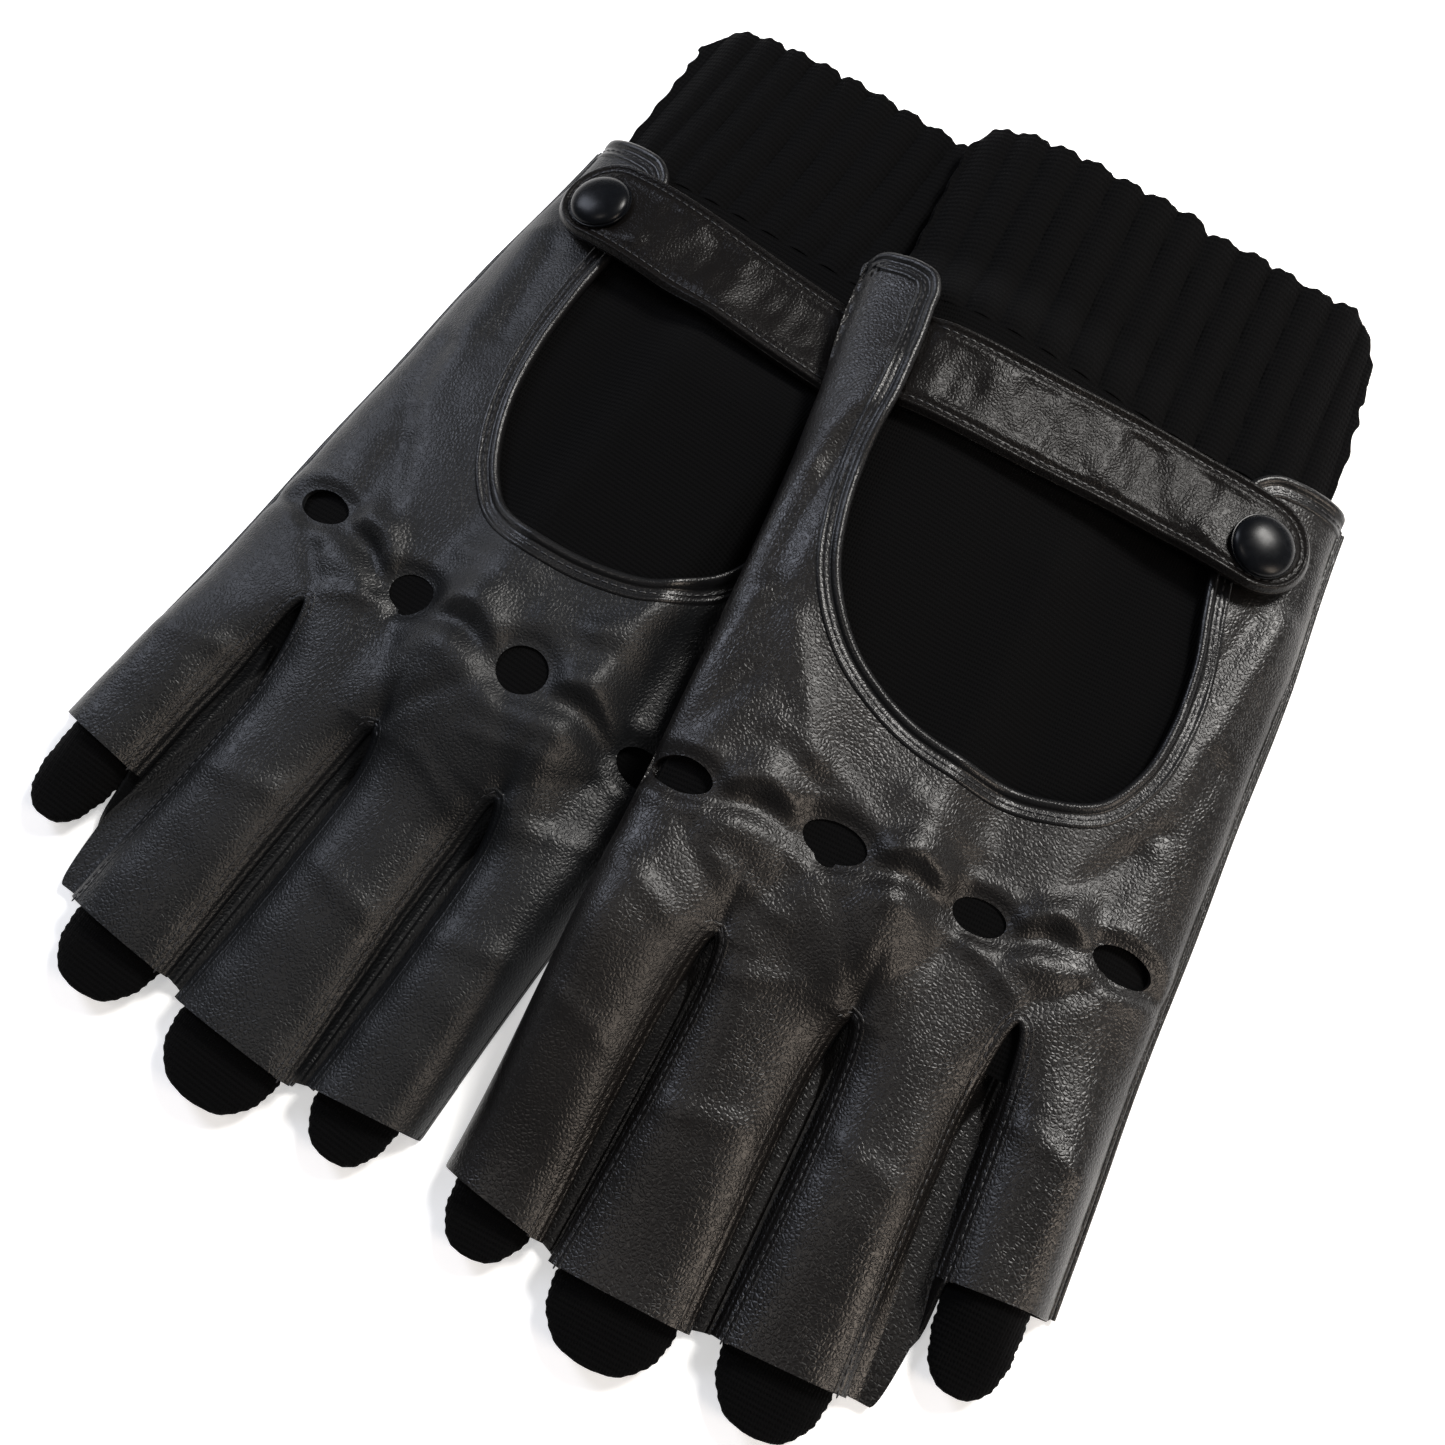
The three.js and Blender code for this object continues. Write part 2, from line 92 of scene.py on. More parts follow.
def linear(colour):
    """An sRGB hex colour as linear red, green, blue and alpha."""
    channels = [int(colour[i:i + 2], 16) / 255 for i in (1, 3, 5)]
    return [c / 12.92 if c <= 0.04045 else ((c + 0.055) / 1.055) ** 2.4 for c in channels] + [1]


def add_node(tree, kind, settings=None, **inputs):
    """Adds a node. A setting is an attribute. An input is a value or another node's output socket,
    and is named with underscores for spaces, or _ and its number."""
    node = tree.nodes.new(kind)
    for name, value in (settings or {}).items():
        setattr(node, name, value)
    for name, value in inputs.items():
        socket = node.inputs[int(name[1:])] if name[1:].isdigit() else node.inputs[name.replace("_", " ")]
        if isinstance(value, bpy.types.NodeSocket):
            tree.links.new(value, socket)
        else:
            socket.default_value = value
    return node


def new_material(name):
    """An empty node material and its nodes."""
    material = bpy.data.materials.new(name)
    material.use_nodes = True
    material.node_tree.nodes.clear()
    return material, material.node_tree


# White laminate table top: matt and nearly even, with a trace of mottling in patches of 25 mm.
# The faint glow stands for the light that a whole white table throws back.
TABLE_REACH = 3.0
TABLE_DROP = 0.2 * MM
TABLE_GLOW = 0.45
SKY_STRENGTH = 0.16

table_white, tree = new_material("white_table_top")
mottle = add_node(tree, "ShaderNodeTexNoise", Scale=1 / (25 * MM), Detail=2.0)
tone = add_node(tree, "ShaderNodeMix", {"data_type": "RGBA"}, _0=mottle.outputs[0],
                _6=linear("#f7f7f7"), _7=linear("#fbfbfb"))
surface = add_node(tree, "ShaderNodeBsdfPrincipled", Base_Color=tone.outputs[2], Roughness=0.9,
                   Emission_Color=linear("#ffffff"), Emission_Strength=TABLE_GLOW)
add_node(tree, "ShaderNodeOutputMaterial", Surface=surface.outputs[0])

floor_mesh = bpy.data.meshes.new("table")
corners = [(x * TABLE_REACH, y * TABLE_REACH, 0) for x, y in ((-1, -1), (1, -1), (1, 1), (-1, 1))]
floor_mesh.from_pydata(corners, [], [(0, 1, 2, 3)])
floor_mesh.materials.append(table_white)
floor = bpy.data.objects.new("table", floor_mesh)
floor.location.z = cad_box[0].z - TABLE_DROP
bpy.context.scene.collection.objects.link(floor)
floor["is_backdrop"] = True

world = bpy.data.worlds.new("studio")
bpy.context.scene.world = world
world.use_nodes = True
sky = world.node_tree.nodes["Background"]
sky.inputs["Color"].default_value = linear("#f4f6fa")
sky.inputs["Strength"].default_value = SKY_STRENGTH
bpy.context.scene.view_settings.view_transform = "Standard"


def add_lamp(name, place, size, power, colour):
    """A rectangular soft lamp that faces the middle of the pair."""
    data = bpy.data.lights.new(name, "AREA")
    data.shape = "RECTANGLE"
    data.size, data.size_y = size
    data.energy = power
    data.color = linear(colour)[:3]
    lamp = bpy.data.objects.new(name, data)
    lamp.location = place
    lamp.rotation_euler = Vector(place).to_track_quat("Z", "Y").to_euler()
    bpy.context.scene.collection.objects.link(lamp)


# Each lamp's place, its width and height, its power in watts and its colour.
LAMPS = (
    ("lamp_window", (0.33, 0.70, 0.82), (0.34, 0.26), 15.5, "#fbf8f4"),
    ("lamp_front", (-0.25, -0.22, 1.05), (0.25, 0.25), 1.0, "#fff6ee"),
    ("lamp_left", (-0.85, 0.25, 0.62), (0.3, 0.5), 5.0, "#e8eeff"),
    ("lamp_right", (0.95, -0.10, 0.50), (0.3, 0.5), 5.0, "#ffeedd"),
)
for lamp in LAMPS:
    add_lamp(*lamp)

# -------- palm leather
# The underside of each glove: one panel of thin black lambskin cut with its four short finger
# stalls. It lies on the table, rises over the folded thumb and, on the left glove, climbs on to
# the right one.

# Both gloves are drawn as a left hand in millimetres: u runs to the little finger, v to the cuff.
SIDES = ("left", "right")
LEAN = math.radians(4)
GLOVE_MIDDLE = {"left": (44.85, -21.10), "right": (44.85, -20.20)}
LEATHER = 0.9
WRIST_V = 97.5
PALM_GRID = 1.1
PALM_OVERLAP = 0.7
FINGERS = ("index", "middle", "ring", "little")
SLITS = ("index_middle", "middle_ring", "ring_little")
CROTCHES = ((-23.7, -29), (3.0, -30.8), (28.8, -18.3))
STALL_ENDS = (
    ((-47.4, -83), (-26.9, -86.4)),
    ((-24.0, -88.4), (1.4, -88)),
    ((5.6, -86.3), (28.2, -85)),
    ((33.9, -61.5), (53.3, -59.5)),
)
SLIT_BOW = 7.0
SLIT_EASE = 0.2
THUMB_RISE = 5.7
# The left glove's climb on to the right one: where it starts and how far it runs across the hand,
# how that line leans along the hand, its height, and the cuff's fall past the wrist.
CLIMB_START = -48
CLIMB_RUN = 54
CLIMB_LEAN = 0.138
CLIMB_HEIGHT = 15.3
CUFF_FALL = 4.2


def smooth(x, low, high):
    """0 below low, 1 above high, and an even S between."""
    t = np.clip((x - low) / (high - low), 0, 1)
    return t * t * (3 - 2 * t)


def mix(a, b, t):
    """The value at share t of the way from a to b."""
    return a + (b - a) * t


def bell(x, width):
    """1 at 0, falling off on both sides: a bell curve of that half width."""
    return np.exp(-(x / width) ** 2)


def radial_edge(v):
    """u of the index finger's side of the glove: a shallow parabola, widest at the wrist."""
    return -47.7 - 0.04 * v - 0.00046 * v * v


def ulnar_edge(v):
    """u of the little finger's side: nearly straight, drawn in at the wrist, let out at the stall."""
    return 50.9 - 0.025 * v - 1.4 * smooth(v, 62, 100) + 1.0 * smooth(-v, 20, 60)


def slit_wall(slit, wall, v):
    """u of a slit's wall: 0 is the wall nearer the index finger, 1 the one nearer the little finger.
    It bows away from the slit by the root of the share of the way from the crotch, less that share."""
    crotch_u, crotch_v = CROTCHES[slit]
    end_u, end_v = STALL_ENDS[slit + 1][0] if wall else STALL_ENDS[slit][1]
    s = np.clip((v - crotch_v) / (end_v - crotch_v), 0, 1.2)
    bow = SLIT_EASE + SLIT_BOW * (np.sqrt(s) - s) * (s < 1)
    return mix(crotch_u, end_u, s) + (bow if wall else -bow)


def finger_edges(finger, v):
    """u of the two edges of a finger stall."""
    low = radial_edge(v) if finger == 0 else slit_wall(finger - 1, 1, v)
    high = ulnar_edge(v) if finger == 3 else slit_wall(finger, 0, v)
    return low, high


def over_thumb(u, v):
    """Height that the folded thumb stall lifts the palm."""
    across = smooth(u, -36, -26) * (1 - smooth(u, -1, 14))
    return THUMB_RISE * across * smooth(v, -42, -14) * (1 - smooth(v, 58, 86))


def lie(side, u, v):
    """Height of a glove's underside: over the thumb, and for the left glove over the right one too,
    as the soft maximum of the two heights."""
    thumb = over_thumb(u, v)
    if side == "right":
        return thumb
    down = (u - CLIMB_START - CLIMB_LEAN * v) / CLIMB_RUN
    share = 1 - mix(np.clip(down, 0, 1), smooth(down, 0, 1), 0.4)
    lift = share * (CLIMB_HEIGHT * smooth(v, -88, -30) - CUFF_FALL * smooth(v, 99, 112))
    return (thumb + lift + np.sqrt((thumb - lift) ** 2 + 1) - 1) / 2


def across_finger(u, v):
    """-1 to 1 across whichever finger stall holds the point, and which finger that is."""
    q = np.zeros_like(u)
    which = np.zeros(u.shape, int)
    for finger in range(4):
        low, high = finger_edges(finger, v)
        inside = u >= (low if finger else -999)
        q = np.where(inside, (2 * u - low - high) / (high - low), q)
        which = np.where(inside, finger, which)
    return np.clip(q, -1, 1), which


def across_hand(u, v):
    """-1 at the index side of the hand, 1 at the little finger's side."""
    low, high = radial_edge(v), ulnar_edge(v)
    return np.clip((2 * u - low - high) / (high - low), -1, 1)


def place(side, points):
    """Glove millimetres (u, v, z) to metres in the pair: turned, shifted, and mirrored on the right."""
    u, v, z = points[..., 0], points[..., 1], points[..., 2]
    shift_x, shift_y = GLOVE_MIDDLE[side]
    x = shift_x + u * math.cos(LEAN) - v * math.sin(LEAN)
    y = shift_y + u * math.sin(LEAN) + v * math.cos(LEAN)
    return np.stack([x if side == "left" else -x, y, z], -1) * MM


def curve(points, step):
    """A smooth line through the points in equal steps: cubics whose slopes are the neighbours' chords."""
    p = np.asarray(points, float)
    t = np.r_[0, np.cumsum(np.linalg.norm(np.diff(p, axis=0), axis=1))]
    slope = np.gradient(p, t, axis=0)
    x = np.linspace(0, t[-1], 4 * int(t[-1] / step) + 8)
    i = np.clip(np.searchsorted(t, x, side="right") - 1, 0, len(t) - 2)
    width = (t[i + 1] - t[i])[:, None]
    s = (x - t[i])[:, None] / width
    line = (1 + 2 * s) * (1 - s) ** 2 * p[i] + s * (1 - s) ** 2 * width * slope[i]
    line = line + s * s * (3 - 2 * s) * p[i + 1] + s * s * (s - 1) * width * slope[i + 1]
    return evenly(line, step)


def evenly(line, step):
    """The same line in equal steps."""
    length = np.r_[0, np.cumsum(np.linalg.norm(np.diff(line, axis=0), axis=1))]
    even = np.linspace(0, length[-1], max(2, round(length[-1] / step) + 1))
    return np.stack([np.interp(even, length, line[:, k]) for k in range(line.shape[1])], 1)


def nearest(points, line):
    """Distance of each point from a line of points, and the nearest place on it."""
    a, d = line[:-1], np.diff(line, axis=0)
    found = []
    for part in np.array_split(points, max(1, len(points) * len(a) // 2_000_000)):
        t = np.clip(((part[:, None] - a) * d).sum(-1) / np.maximum((d * d).sum(-1), 1e-12), 0, 1)
        foot = a + t[..., None] * d
        gap = np.linalg.norm(part[:, None] - foot, axis=-1)
        best = gap.argmin(1)
        rows = np.arange(len(part))
        found.append(np.c_[gap[rows, best], foot[rows, best]])
    found = np.concatenate(found)
    return found[:, 0], found[:, 1:]


def inside(points, outlines):
    """Whether each point is inside an odd number of closed outlines: one within another is a hole."""
    odd = np.zeros(len(points), bool)
    u, v = points[:, :1], points[:, 1:]
    for line in outlines:
        (u0, v0), (u1, v1) = line[:-1].T, line[1:].T
        rise = np.where(v1 == v0, 1e-9, v1 - v0)
        crossed = ((v0 > v) != (v1 > v)) & (u < u0 + (v - v0) / rise * (u1 - u0))
        odd ^= crossed.sum(1) % 2 == 1
    return odd


def open_edges(faces):
    """The directed edges that only one face has."""
    edges = np.stack([faces, np.roll(faces, -1, 1)], -1).reshape(-1, 2)
    count = faces.max() + 1
    return edges[~np.isin(edges[:, 0] * count + edges[:, 1], edges[:, 1] * count + edges[:, 0])]


def cut_piece(outlines, step):
    """A flat piece cut to outlines: the squares of a grid whose middles are inside, with the points
    along the cut pulled on to the nearest outline."""
    low = outlines[0].min(0) - step
    high = outlines[0].max(0) + step
    us = np.arange(low[0], high[0], step)
    vs = np.arange(low[1], high[1], step)
    grid = np.stack(np.meshgrid(us, vs), -1).reshape(-1, 2)
    corner = (np.arange(len(vs) - 1)[:, None] * len(us) + np.arange(len(us) - 1)).reshape(-1, 1)
    faces = corner + np.array([0, 1, len(us) + 1, len(us)])
    faces = faces[inside(grid[faces].mean(1), outlines)]
    used, faces = np.unique(faces, return_inverse=True)
    faces = faces.reshape(-1, 4)
    points = grid[used]
    rim = np.unique(open_edges(faces))
    candidates = [nearest(points[rim], line) for line in outlines]
    best = np.argmin([gap for gap, _ in candidates], 0)
    points[rim] = np.array([foot for _, foot in candidates])[best, np.arange(len(rim))]
    return points, faces


def sheet_grid(rows, columns, closed=False):
    """Faces of a grid of points in rows; a closed one joins the end of each row to its start."""
    spans = columns if closed else columns - 1
    row, column = np.meshgrid(np.arange(rows - 1), np.arange(spans), indexing="ij")
    after = (column + 1) % columns
    this_row = row * columns
    next_row = this_row + columns
    corners = [this_row + column, next_row + column, next_row + after, this_row + after]
    return np.stack(corners, -1).reshape(-1, 4)


def shell(points, faces, thickness):
    """A sheet with a wall: a second layer at that depth below it, and a rim round every open edge."""
    across = points[faces[:, 2]] - points[faces[:, 0]]
    along = points[faces[:, 3]] - points[faces[:, 1]]
    normals = np.zeros_like(points)
    for corner in range(4):
        np.add.at(normals, faces[:, corner], np.cross(across, along))
    normals /= np.maximum(np.linalg.norm(normals, axis=1, keepdims=True), 1e-9)
    count = len(points)
    a, b = open_edges(faces).T
    rim = np.stack([a, a + count, b + count, b], -1)
    walls = np.concatenate([faces, faces[:, ::-1] + count, rim])
    return np.concatenate([points, points - normals * thickness]), walls


def make_piece(name, side, points, faces, material):
    """A named mesh from points in glove millimetres. Its map is (u, v) in millimetres."""
    mesh = bpy.data.meshes.new(name)
    faces = faces.tolist() if isinstance(faces, np.ndarray) else faces
    if side == "right":
        faces = [face[::-1] for face in faces]
    mesh.from_pydata(place(side, points).tolist(), [], faces)
    corners = np.zeros(len(mesh.loops), int)
    mesh.loops.foreach_get("vertex_index", corners)
    layer = mesh.uv_layers.new(name="cloth")
    layer.data.foreach_set("uv", points[:, :2][corners].astype(np.float32).ravel())
    mesh.polygons.foreach_set("use_smooth", np.ones(len(mesh.polygons), bool))
    mesh.set_sharp_from_angle(angle=math.radians(50))
    mesh.materials.append(material)
    piece = bpy.data.objects.new(name, mesh)
    bpy.context.scene.collection.objects.link(piece)
    return piece


def add_piece(name, side, points, faces, material, body, slot, *nodes):
    """A piece of one glove that rides on a body and stands for the plain solids; its slot is not used.
    Its name, its body and its solids all begin with the side."""
    piece = make_piece(f"{side}_{name}", side, points, faces, material)
    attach(piece, f"{side}_{body}")
    if nodes:
        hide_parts(*[f"{side}_{node}" for node in nodes])


def listed(u, v, z):
    """Three grids of coordinates as one list of points."""
    return np.stack([u, v, z], -1).reshape(-1, 3)


def lambskin(name, dark, light, roughness, grain, depth=1.0, shine=0.35):
    """Drum-dyed lambskin with a light wax finish: pebbles of that grain in millimetres, parted by fine
    furrows, with a soft gloss on their tops, creases of 2.4 mm and slightly duller patches of 22 mm."""
    material, tree = new_material(name)
    where = add_node(tree, "ShaderNodeTexCoord").outputs["Object"]
    swirl = add_node(tree, "ShaderNodeTexNoise", Vector=where, Scale=1 / (3.0 * MM), Detail=2.0)
    warped = add_node(tree, "ShaderNodeVectorMath", {"operation": "MULTIPLY_ADD"}, _0=swirl.outputs["Color"],
                      _1=(0.8 * MM,) * 3, _2=where)
    pebble = add_node(tree, "ShaderNodeTexVoronoi", {"feature": "DISTANCE_TO_EDGE"}, Vector=warped.outputs[0],
                      Scale=1 / (grain * MM))
    top = add_node(tree, "ShaderNodeMapRange", {"interpolation_type": "SMOOTHSTEP"},
                   Value=pebble.outputs["Distance"], _1=0.0, _2=0.34)
    crease = add_node(tree, "ShaderNodeTexNoise", Vector=where, Scale=1 / (2.4 * MM), Detail=5.0,
                      Roughness=0.6)
    patch = add_node(tree, "ShaderNodeTexNoise", Vector=where, Scale=1 / (22 * MM), Detail=3.0)
    height = add_node(tree, "ShaderNodeMath", {"operation": "MULTIPLY_ADD"}, _0=crease.outputs[0], _1=0.6,
                      _2=top.outputs[0])
    bump = add_node(tree, "ShaderNodeBump", Height=height.outputs[0], Strength=0.46 * depth,
                    Distance=0.11 * MM)
    tone = add_node(tree, "ShaderNodeMix", {"data_type": "RGBA"}, _0=patch.outputs[0],
                    _6=linear(dark), _7=linear(light))
    gloss = add_node(tree, "ShaderNodeMapRange", Value=patch.outputs[0], _1=0.3, _2=0.7,
                     _3=roughness - 0.04, _4=roughness + 0.06)
    surface = add_node(tree, "ShaderNodeBsdfPrincipled", Base_Color=tone.outputs[2],
                       Roughness=gloss.outputs[0], IOR=1.45, Specular_IOR_Level=shine,
                       Normal=bump.outputs[0])
    add_node(tree, "ShaderNodeOutputMaterial", Surface=surface.outputs[0])
    return material


glove_leather = {
    "left": lambskin("black_lambskin_left", "#090808", "#110f0e", 0.35, 0.75, 1.0, 0.4),
    "right": lambskin("black_lambskin_right", "#090a0b", "#0f1012", 0.42, 0.75),
}


def wall_points(slit, wall, count=12):
    """Points along a slit's wall, from its crotch to its end, closer together near the crotch."""
    end_v = (STALL_ENDS[slit + 1][0] if wall else STALL_ENDS[slit][1])[1]
    v = mix(CROTCHES[slit][1], end_v, np.linspace(0, 1, count) ** 2)
    return np.stack([slit_wall(slit, wall, v), v], 1)


def stall_points():
    """The four stalls and the slits between them, from the little finger's side to the index side."""
    points = [[STALL_ENDS[3][1]]]
    for slit in (2, 1, 0):
        crotch_u, crotch_v = CROTCHES[slit]
        points += [wall_points(slit, 1)[::-1], [(crotch_u, crotch_v + 0.5)], wall_points(slit, 0)]
    return np.concatenate(points + [[STALL_ENDS[0][0]]])


def side_points(edge, start, end, steps):
    """Points along a side edge of the leather."""
    v = np.linspace(start, end, steps)
    return np.stack([edge(v), v], 1)


def palm_side(v):
    """u of the palm's edge on the little finger's side, which shows beside the back."""
    return ulnar_edge(v) + PALM_OVERLAP


palm_outline = np.concatenate([
    side_points(palm_side, WRIST_V - 4, -58.5, 24),
    stall_points(),
    side_points(radial_edge, -82, WRIST_V - 4, 28),
    [(-47.5, WRIST_V), (46, WRIST_V), (palm_side(WRIST_V - 4), WRIST_V - 4)],
])

for side in SIDES:
    flat, faces = cut_piece([palm_outline], PALM_GRID)
    u, v = flat.T
    hand_q = np.abs(across_hand(u, v)) ** 10
    finger_q = np.abs(across_finger(u, v)[0]) ** 6
    rise = 0.5 * mix(finger_q, hand_q, smooth(v, -42, -12))
    z = lie(side, u, v) + LEATHER + rise
    points, walls = shell(np.c_[flat, z], faces, LEATHER)
    add_piece("palm_leather", side, points, walls, glove_leather[side], "glove", "leather", "palm_panel")

# -------- thumb stall
# A short leather tube for the thumb, sewn to the palm and pressed flat under it, with the liner's
# knitted thumb inside.

THUMB_HEIGHT = 5.1
THUMB_KNIT_GAP = 1.15
THUMB_KNIT_TOP = 4.0
THUMB_KNIT_INSET = 1.6
LINER_WALL = 0.8


def pressed_tube(v, low, high, bottom, top, sides, squareness=0.75):
    """A tube pressed flat: at each v a rounded oblong between low and high, whose underside follows
    bottom(u, v) and whose upper side follows top(u, v)."""
    angle = np.linspace(0, 2 * np.pi, sides, endpoint=False)
    x = np.sign(np.cos(angle)) * np.abs(np.cos(angle)) ** squareness
    y = np.sign(np.sin(angle)) * np.abs(np.sin(angle)) ** squareness
    u = (low[:, None] + high[:, None]) / 2 + (high - low)[:, None] / 2 * x
    v = np.broadcast_to(v[:, None], u.shape)
    z = mix(bottom(u, v), top(u, v), (y + 1) / 2)
    return listed(u, v, z), sheet_grid(len(v), sides, closed=True)


def jersey(name, colour, wale, course, sheen):
    """Black wool jersey: matt, with columns of small V-shaped loops, wale apart and course high in
    millimetres, and a faint fuzz of 0.45 mm that catches light at grazing angles."""
    material, tree = new_material(name)
    where = add_node(tree, "ShaderNodeTexCoord").outputs["UV"]
    apart = add_node(tree, "ShaderNodeSeparateXYZ", _0=where)
    across = add_node(tree, "ShaderNodeMath", {"operation": "MULTIPLY"}, _0=apart.outputs[0],
                      _1=2 * math.pi / wale)
    wave = add_node(tree, "ShaderNodeMath", {"operation": "COSINE"}, _0=across.outputs[0])
    lean = add_node(tree, "ShaderNodeMath", {"operation": "ABSOLUTE"}, _0=wave.outputs[0])
    along = add_node(tree, "ShaderNodeMath", {"operation": "MULTIPLY_ADD"}, _0=apart.outputs[1],
                     _1=2 * math.pi / course, _2=lean.outputs[0])
    loops = add_node(tree, "ShaderNodeMath", {"operation": "SINE"}, _0=along.outputs[0])
    height = add_node(tree, "ShaderNodeMath", {"operation": "MULTIPLY_ADD"}, _0=loops.outputs[0], _1=0.5,
                      _2=lean.outputs[0])
    fuzz = add_node(tree, "ShaderNodeTexNoise", Vector=where, Scale=2.2, Detail=4.0, Roughness=0.7)
    rough = add_node(tree, "ShaderNodeMath", {"operation": "MULTIPLY_ADD"}, _0=fuzz.outputs[0], _1=1.6,
                     _2=height.outputs[0])
    bump = add_node(tree, "ShaderNodeBump", Height=rough.outputs[0], Strength=0.5, Distance=0.2 * MM)
    tone = add_node(tree, "ShaderNodeMix", {"data_type": "RGBA"}, _0=fuzz.outputs[0],
                    _6=linear("#030303"), _7=linear(colour))
    surface = add_node(tree, "ShaderNodeBsdfPrincipled", Base_Color=tone.outputs[2], Roughness=0.95,
                       Specular_IOR_Level=0.08, Sheen_Weight=sheen, Sheen_Roughness=0.5,
                       Sheen_Tint=linear("#55585f"), Normal=bump.outputs[0])
    add_node(tree, "ShaderNodeOutputMaterial", Surface=surface.outputs[0])
    return material


liner_knit = jersey("black_fine_jersey", "#040405", 1.1, 0.9, 0.02)


def level(height):
    """A flat surface at one height."""
    return lambda u, v: np.full(u.shape, float(height))


for side in SIDES:
    v = np.linspace(0.5, 49.5, 34)
    low = mix(-24.0, -25.0, smooth(v, 0, 50)) + 0.5 * np.sin(v / 6)
    high = mix(-4.0, -2.0, smooth(v, 0, 50)) + 0.4 * np.sin(v / 7 + 1)
    points, faces = pressed_tube(v, low, high, level(0.0), level(THUMB_HEIGHT), 56)
    points, walls = shell(points, faces, LEATHER)
    add_piece("thumb_leather", side, points, walls, glove_leather[side], "glove", "leather", "thumb_stall")

    v = np.linspace(-8, 48, 90)
    narrow = THUMB_KNIT_INSET + 5.0 * (1 - smooth(v, -8.5, -3)) ** 2
    points, faces = pressed_tube(v, low[0] + narrow, high[0] - narrow, level(THUMB_KNIT_GAP),
                                 level(THUMB_KNIT_TOP), 48)
    points, walls = shell(points, faces, LINER_WALL)
    add_piece("thumb_knit", side, points, walls, liner_knit, "glove", "knit", "liner_thumb")

# -------- knitted liner
# A fine black jersey glove sewn in at the wrist. It shows through the cut-out and the knuckle
# holes, and its open fingertips stand out of the leather stalls.

HAND_CROWN = 11.5
OUTER_EDGE = 2.1
STALL_CROWN = 11.0
STALL_EDGE = 5.4
LINER_TIPS = (-94, -100, -97, -77)
LINER_STARTS = (-25, -25, -25, -14)
LINER_ON_PALM = 1.3
LINER_UNDER_BACK = 1.25
LINER_WIDTH = 0.955
FINGER_WALL = 0.9
FINGERTIP = 18
TIP_ROUNDING = 10


def glove_height(u, v):
    """Height of the back above the underside. Across the hand, and across each stall past the
    crotches, it is a low crown that rounds down to the side edges."""
    q = across_hand(u, v)
    hand = mix(OUTER_EDGE, HAND_CROWN, (1 - q ** 4) ** 0.6)
    q, finger = across_finger(u, v)
    outer = ((finger == 0) & (q < 0)) | ((finger == 3) & (q > 0))
    crown = STALL_CROWN - 1.6 * smooth(-v, 55, 90)
    stall = mix(np.where(outer, OUTER_EDGE, STALL_EDGE), crown, (1 - np.abs(q) ** 2.8) ** 0.7)
    return mix(stall, hand, smooth(v, -40, -14))


def loops(u, v, wale=1.5, course=1.25, size=1.0):
    """The knit's relief: a sine along each column, set back at its middle, for V-shaped loops."""
    column = np.abs(np.cos(np.pi * u / wale))
    return size * (0.05 * np.sin(2 * np.pi * v / course + 1.3 * column) + 0.07 * column)


for side in SIDES:
    def hand_bottom(u, v):
        return lie(side, u, v) + LINER_ON_PALM

    def hand_top(u, v):
        return lie(side, u, v) + glove_height(u, v) - LINER_UNDER_BACK

    v = np.linspace(-28, 97.3, 160)
    low = mix(1.3, radial_edge(v), LINER_WIDTH)
    high = mix(1.3, ulnar_edge(v), LINER_WIDTH)
    points, faces = pressed_tube(v, low, high, hand_bottom, hand_top, 300, 0.9)
    points, walls = shell(points, faces, LINER_WALL)
    add_piece("hand_knit", side, points, walls, liner_knit, "glove", "knit", "liner_hand")

    for finger, tip, start in zip(range(4), LINER_TIPS, LINER_STARTS):
        def opened(v):
            """0 at the fingertip, where the knit is pressed flat, and 1 inside the stall."""
            return smooth(v, tip - 1, tip + FINGERTIP)

        def finger_bottom(u, v):
            return lie(side, u, v) + 1.2 + 0.9 * (1 - opened(v))

        def finger_top(u, v):
            return lie(side, u, v) + mix(5.2, glove_height(u, v) - 1.4, opened(v)) + loops(u, v)

        v = np.r_[np.linspace(tip, tip + 26, 66), np.linspace(tip + 28, start, 16)]
        low, high = finger_edges(finger, v)
        low = low + (3.2 if finger == 0 else 1.4)
        high = high - (3.2 if finger == 3 else 1.4)
        from_round = ((tip + TIP_ROUNDING - v) / TIP_ROUNDING).clip(0, 1)
        round_end = (high - low) * 0.42 * (1 - np.sqrt(np.clip(1 - from_round ** 2, 0, 1)))
        wave = 0.12 * np.sin(v * 3.9 + finger) + 0.1 * np.sin(v * 1.3 + 2 * finger)
        points, faces = pressed_tube(v, low + round_end + wave, high - round_end - wave,
                                     finger_bottom, finger_top, 110, 0.85)
        points, walls = shell(points, faces, FINGER_WALL)
        add_piece(FINGERS[finger] + "_knit", side, points, walls, liner_knit, "glove", "knit",
                  "liner_" + FINGERS[finger])

# -------- ribbed cuff
# A long cuff of the same wool knitted in broad ribs, sewn to the wrist. Its free edge waves with
# the ribs.

CUFF_START_V = 97.8
CUFF_TOP_V = 141.5
CUFF_WALL = 1.2
RIB = 7.15
RIB_HEIGHT = 1.6
RIB_WALE = 1.43
RIB_COURSE = 1.1
rib_knit = jersey("black_wool_rib", "#050506", RIB_WALE, RIB_COURSE, 0.03)

# Where the cuff's side ends at its free edge, and how far that edge stands past its mean line.
CUFF_SIDE = {"left": 39.8, "right": 45.4}
CUFF_BOW = {
    "left": ((-55, -1.5), (-52, 1.4), (-49, 2.8), (-42, 3.0), (-31, 1.2), (-20, 0.2), (-4, 1.2),
             (0, -0.2), (12, 1.4), (24, 1.8), (33, 3.2), (38, 0.4), (41, -5)),
    "right": ((-55, -5), (-49, -3.4), (-10, -2.6), (8, -2.0), (23, -1.8), (37, -1.4), (42, -2.4), (46, -6)),
}


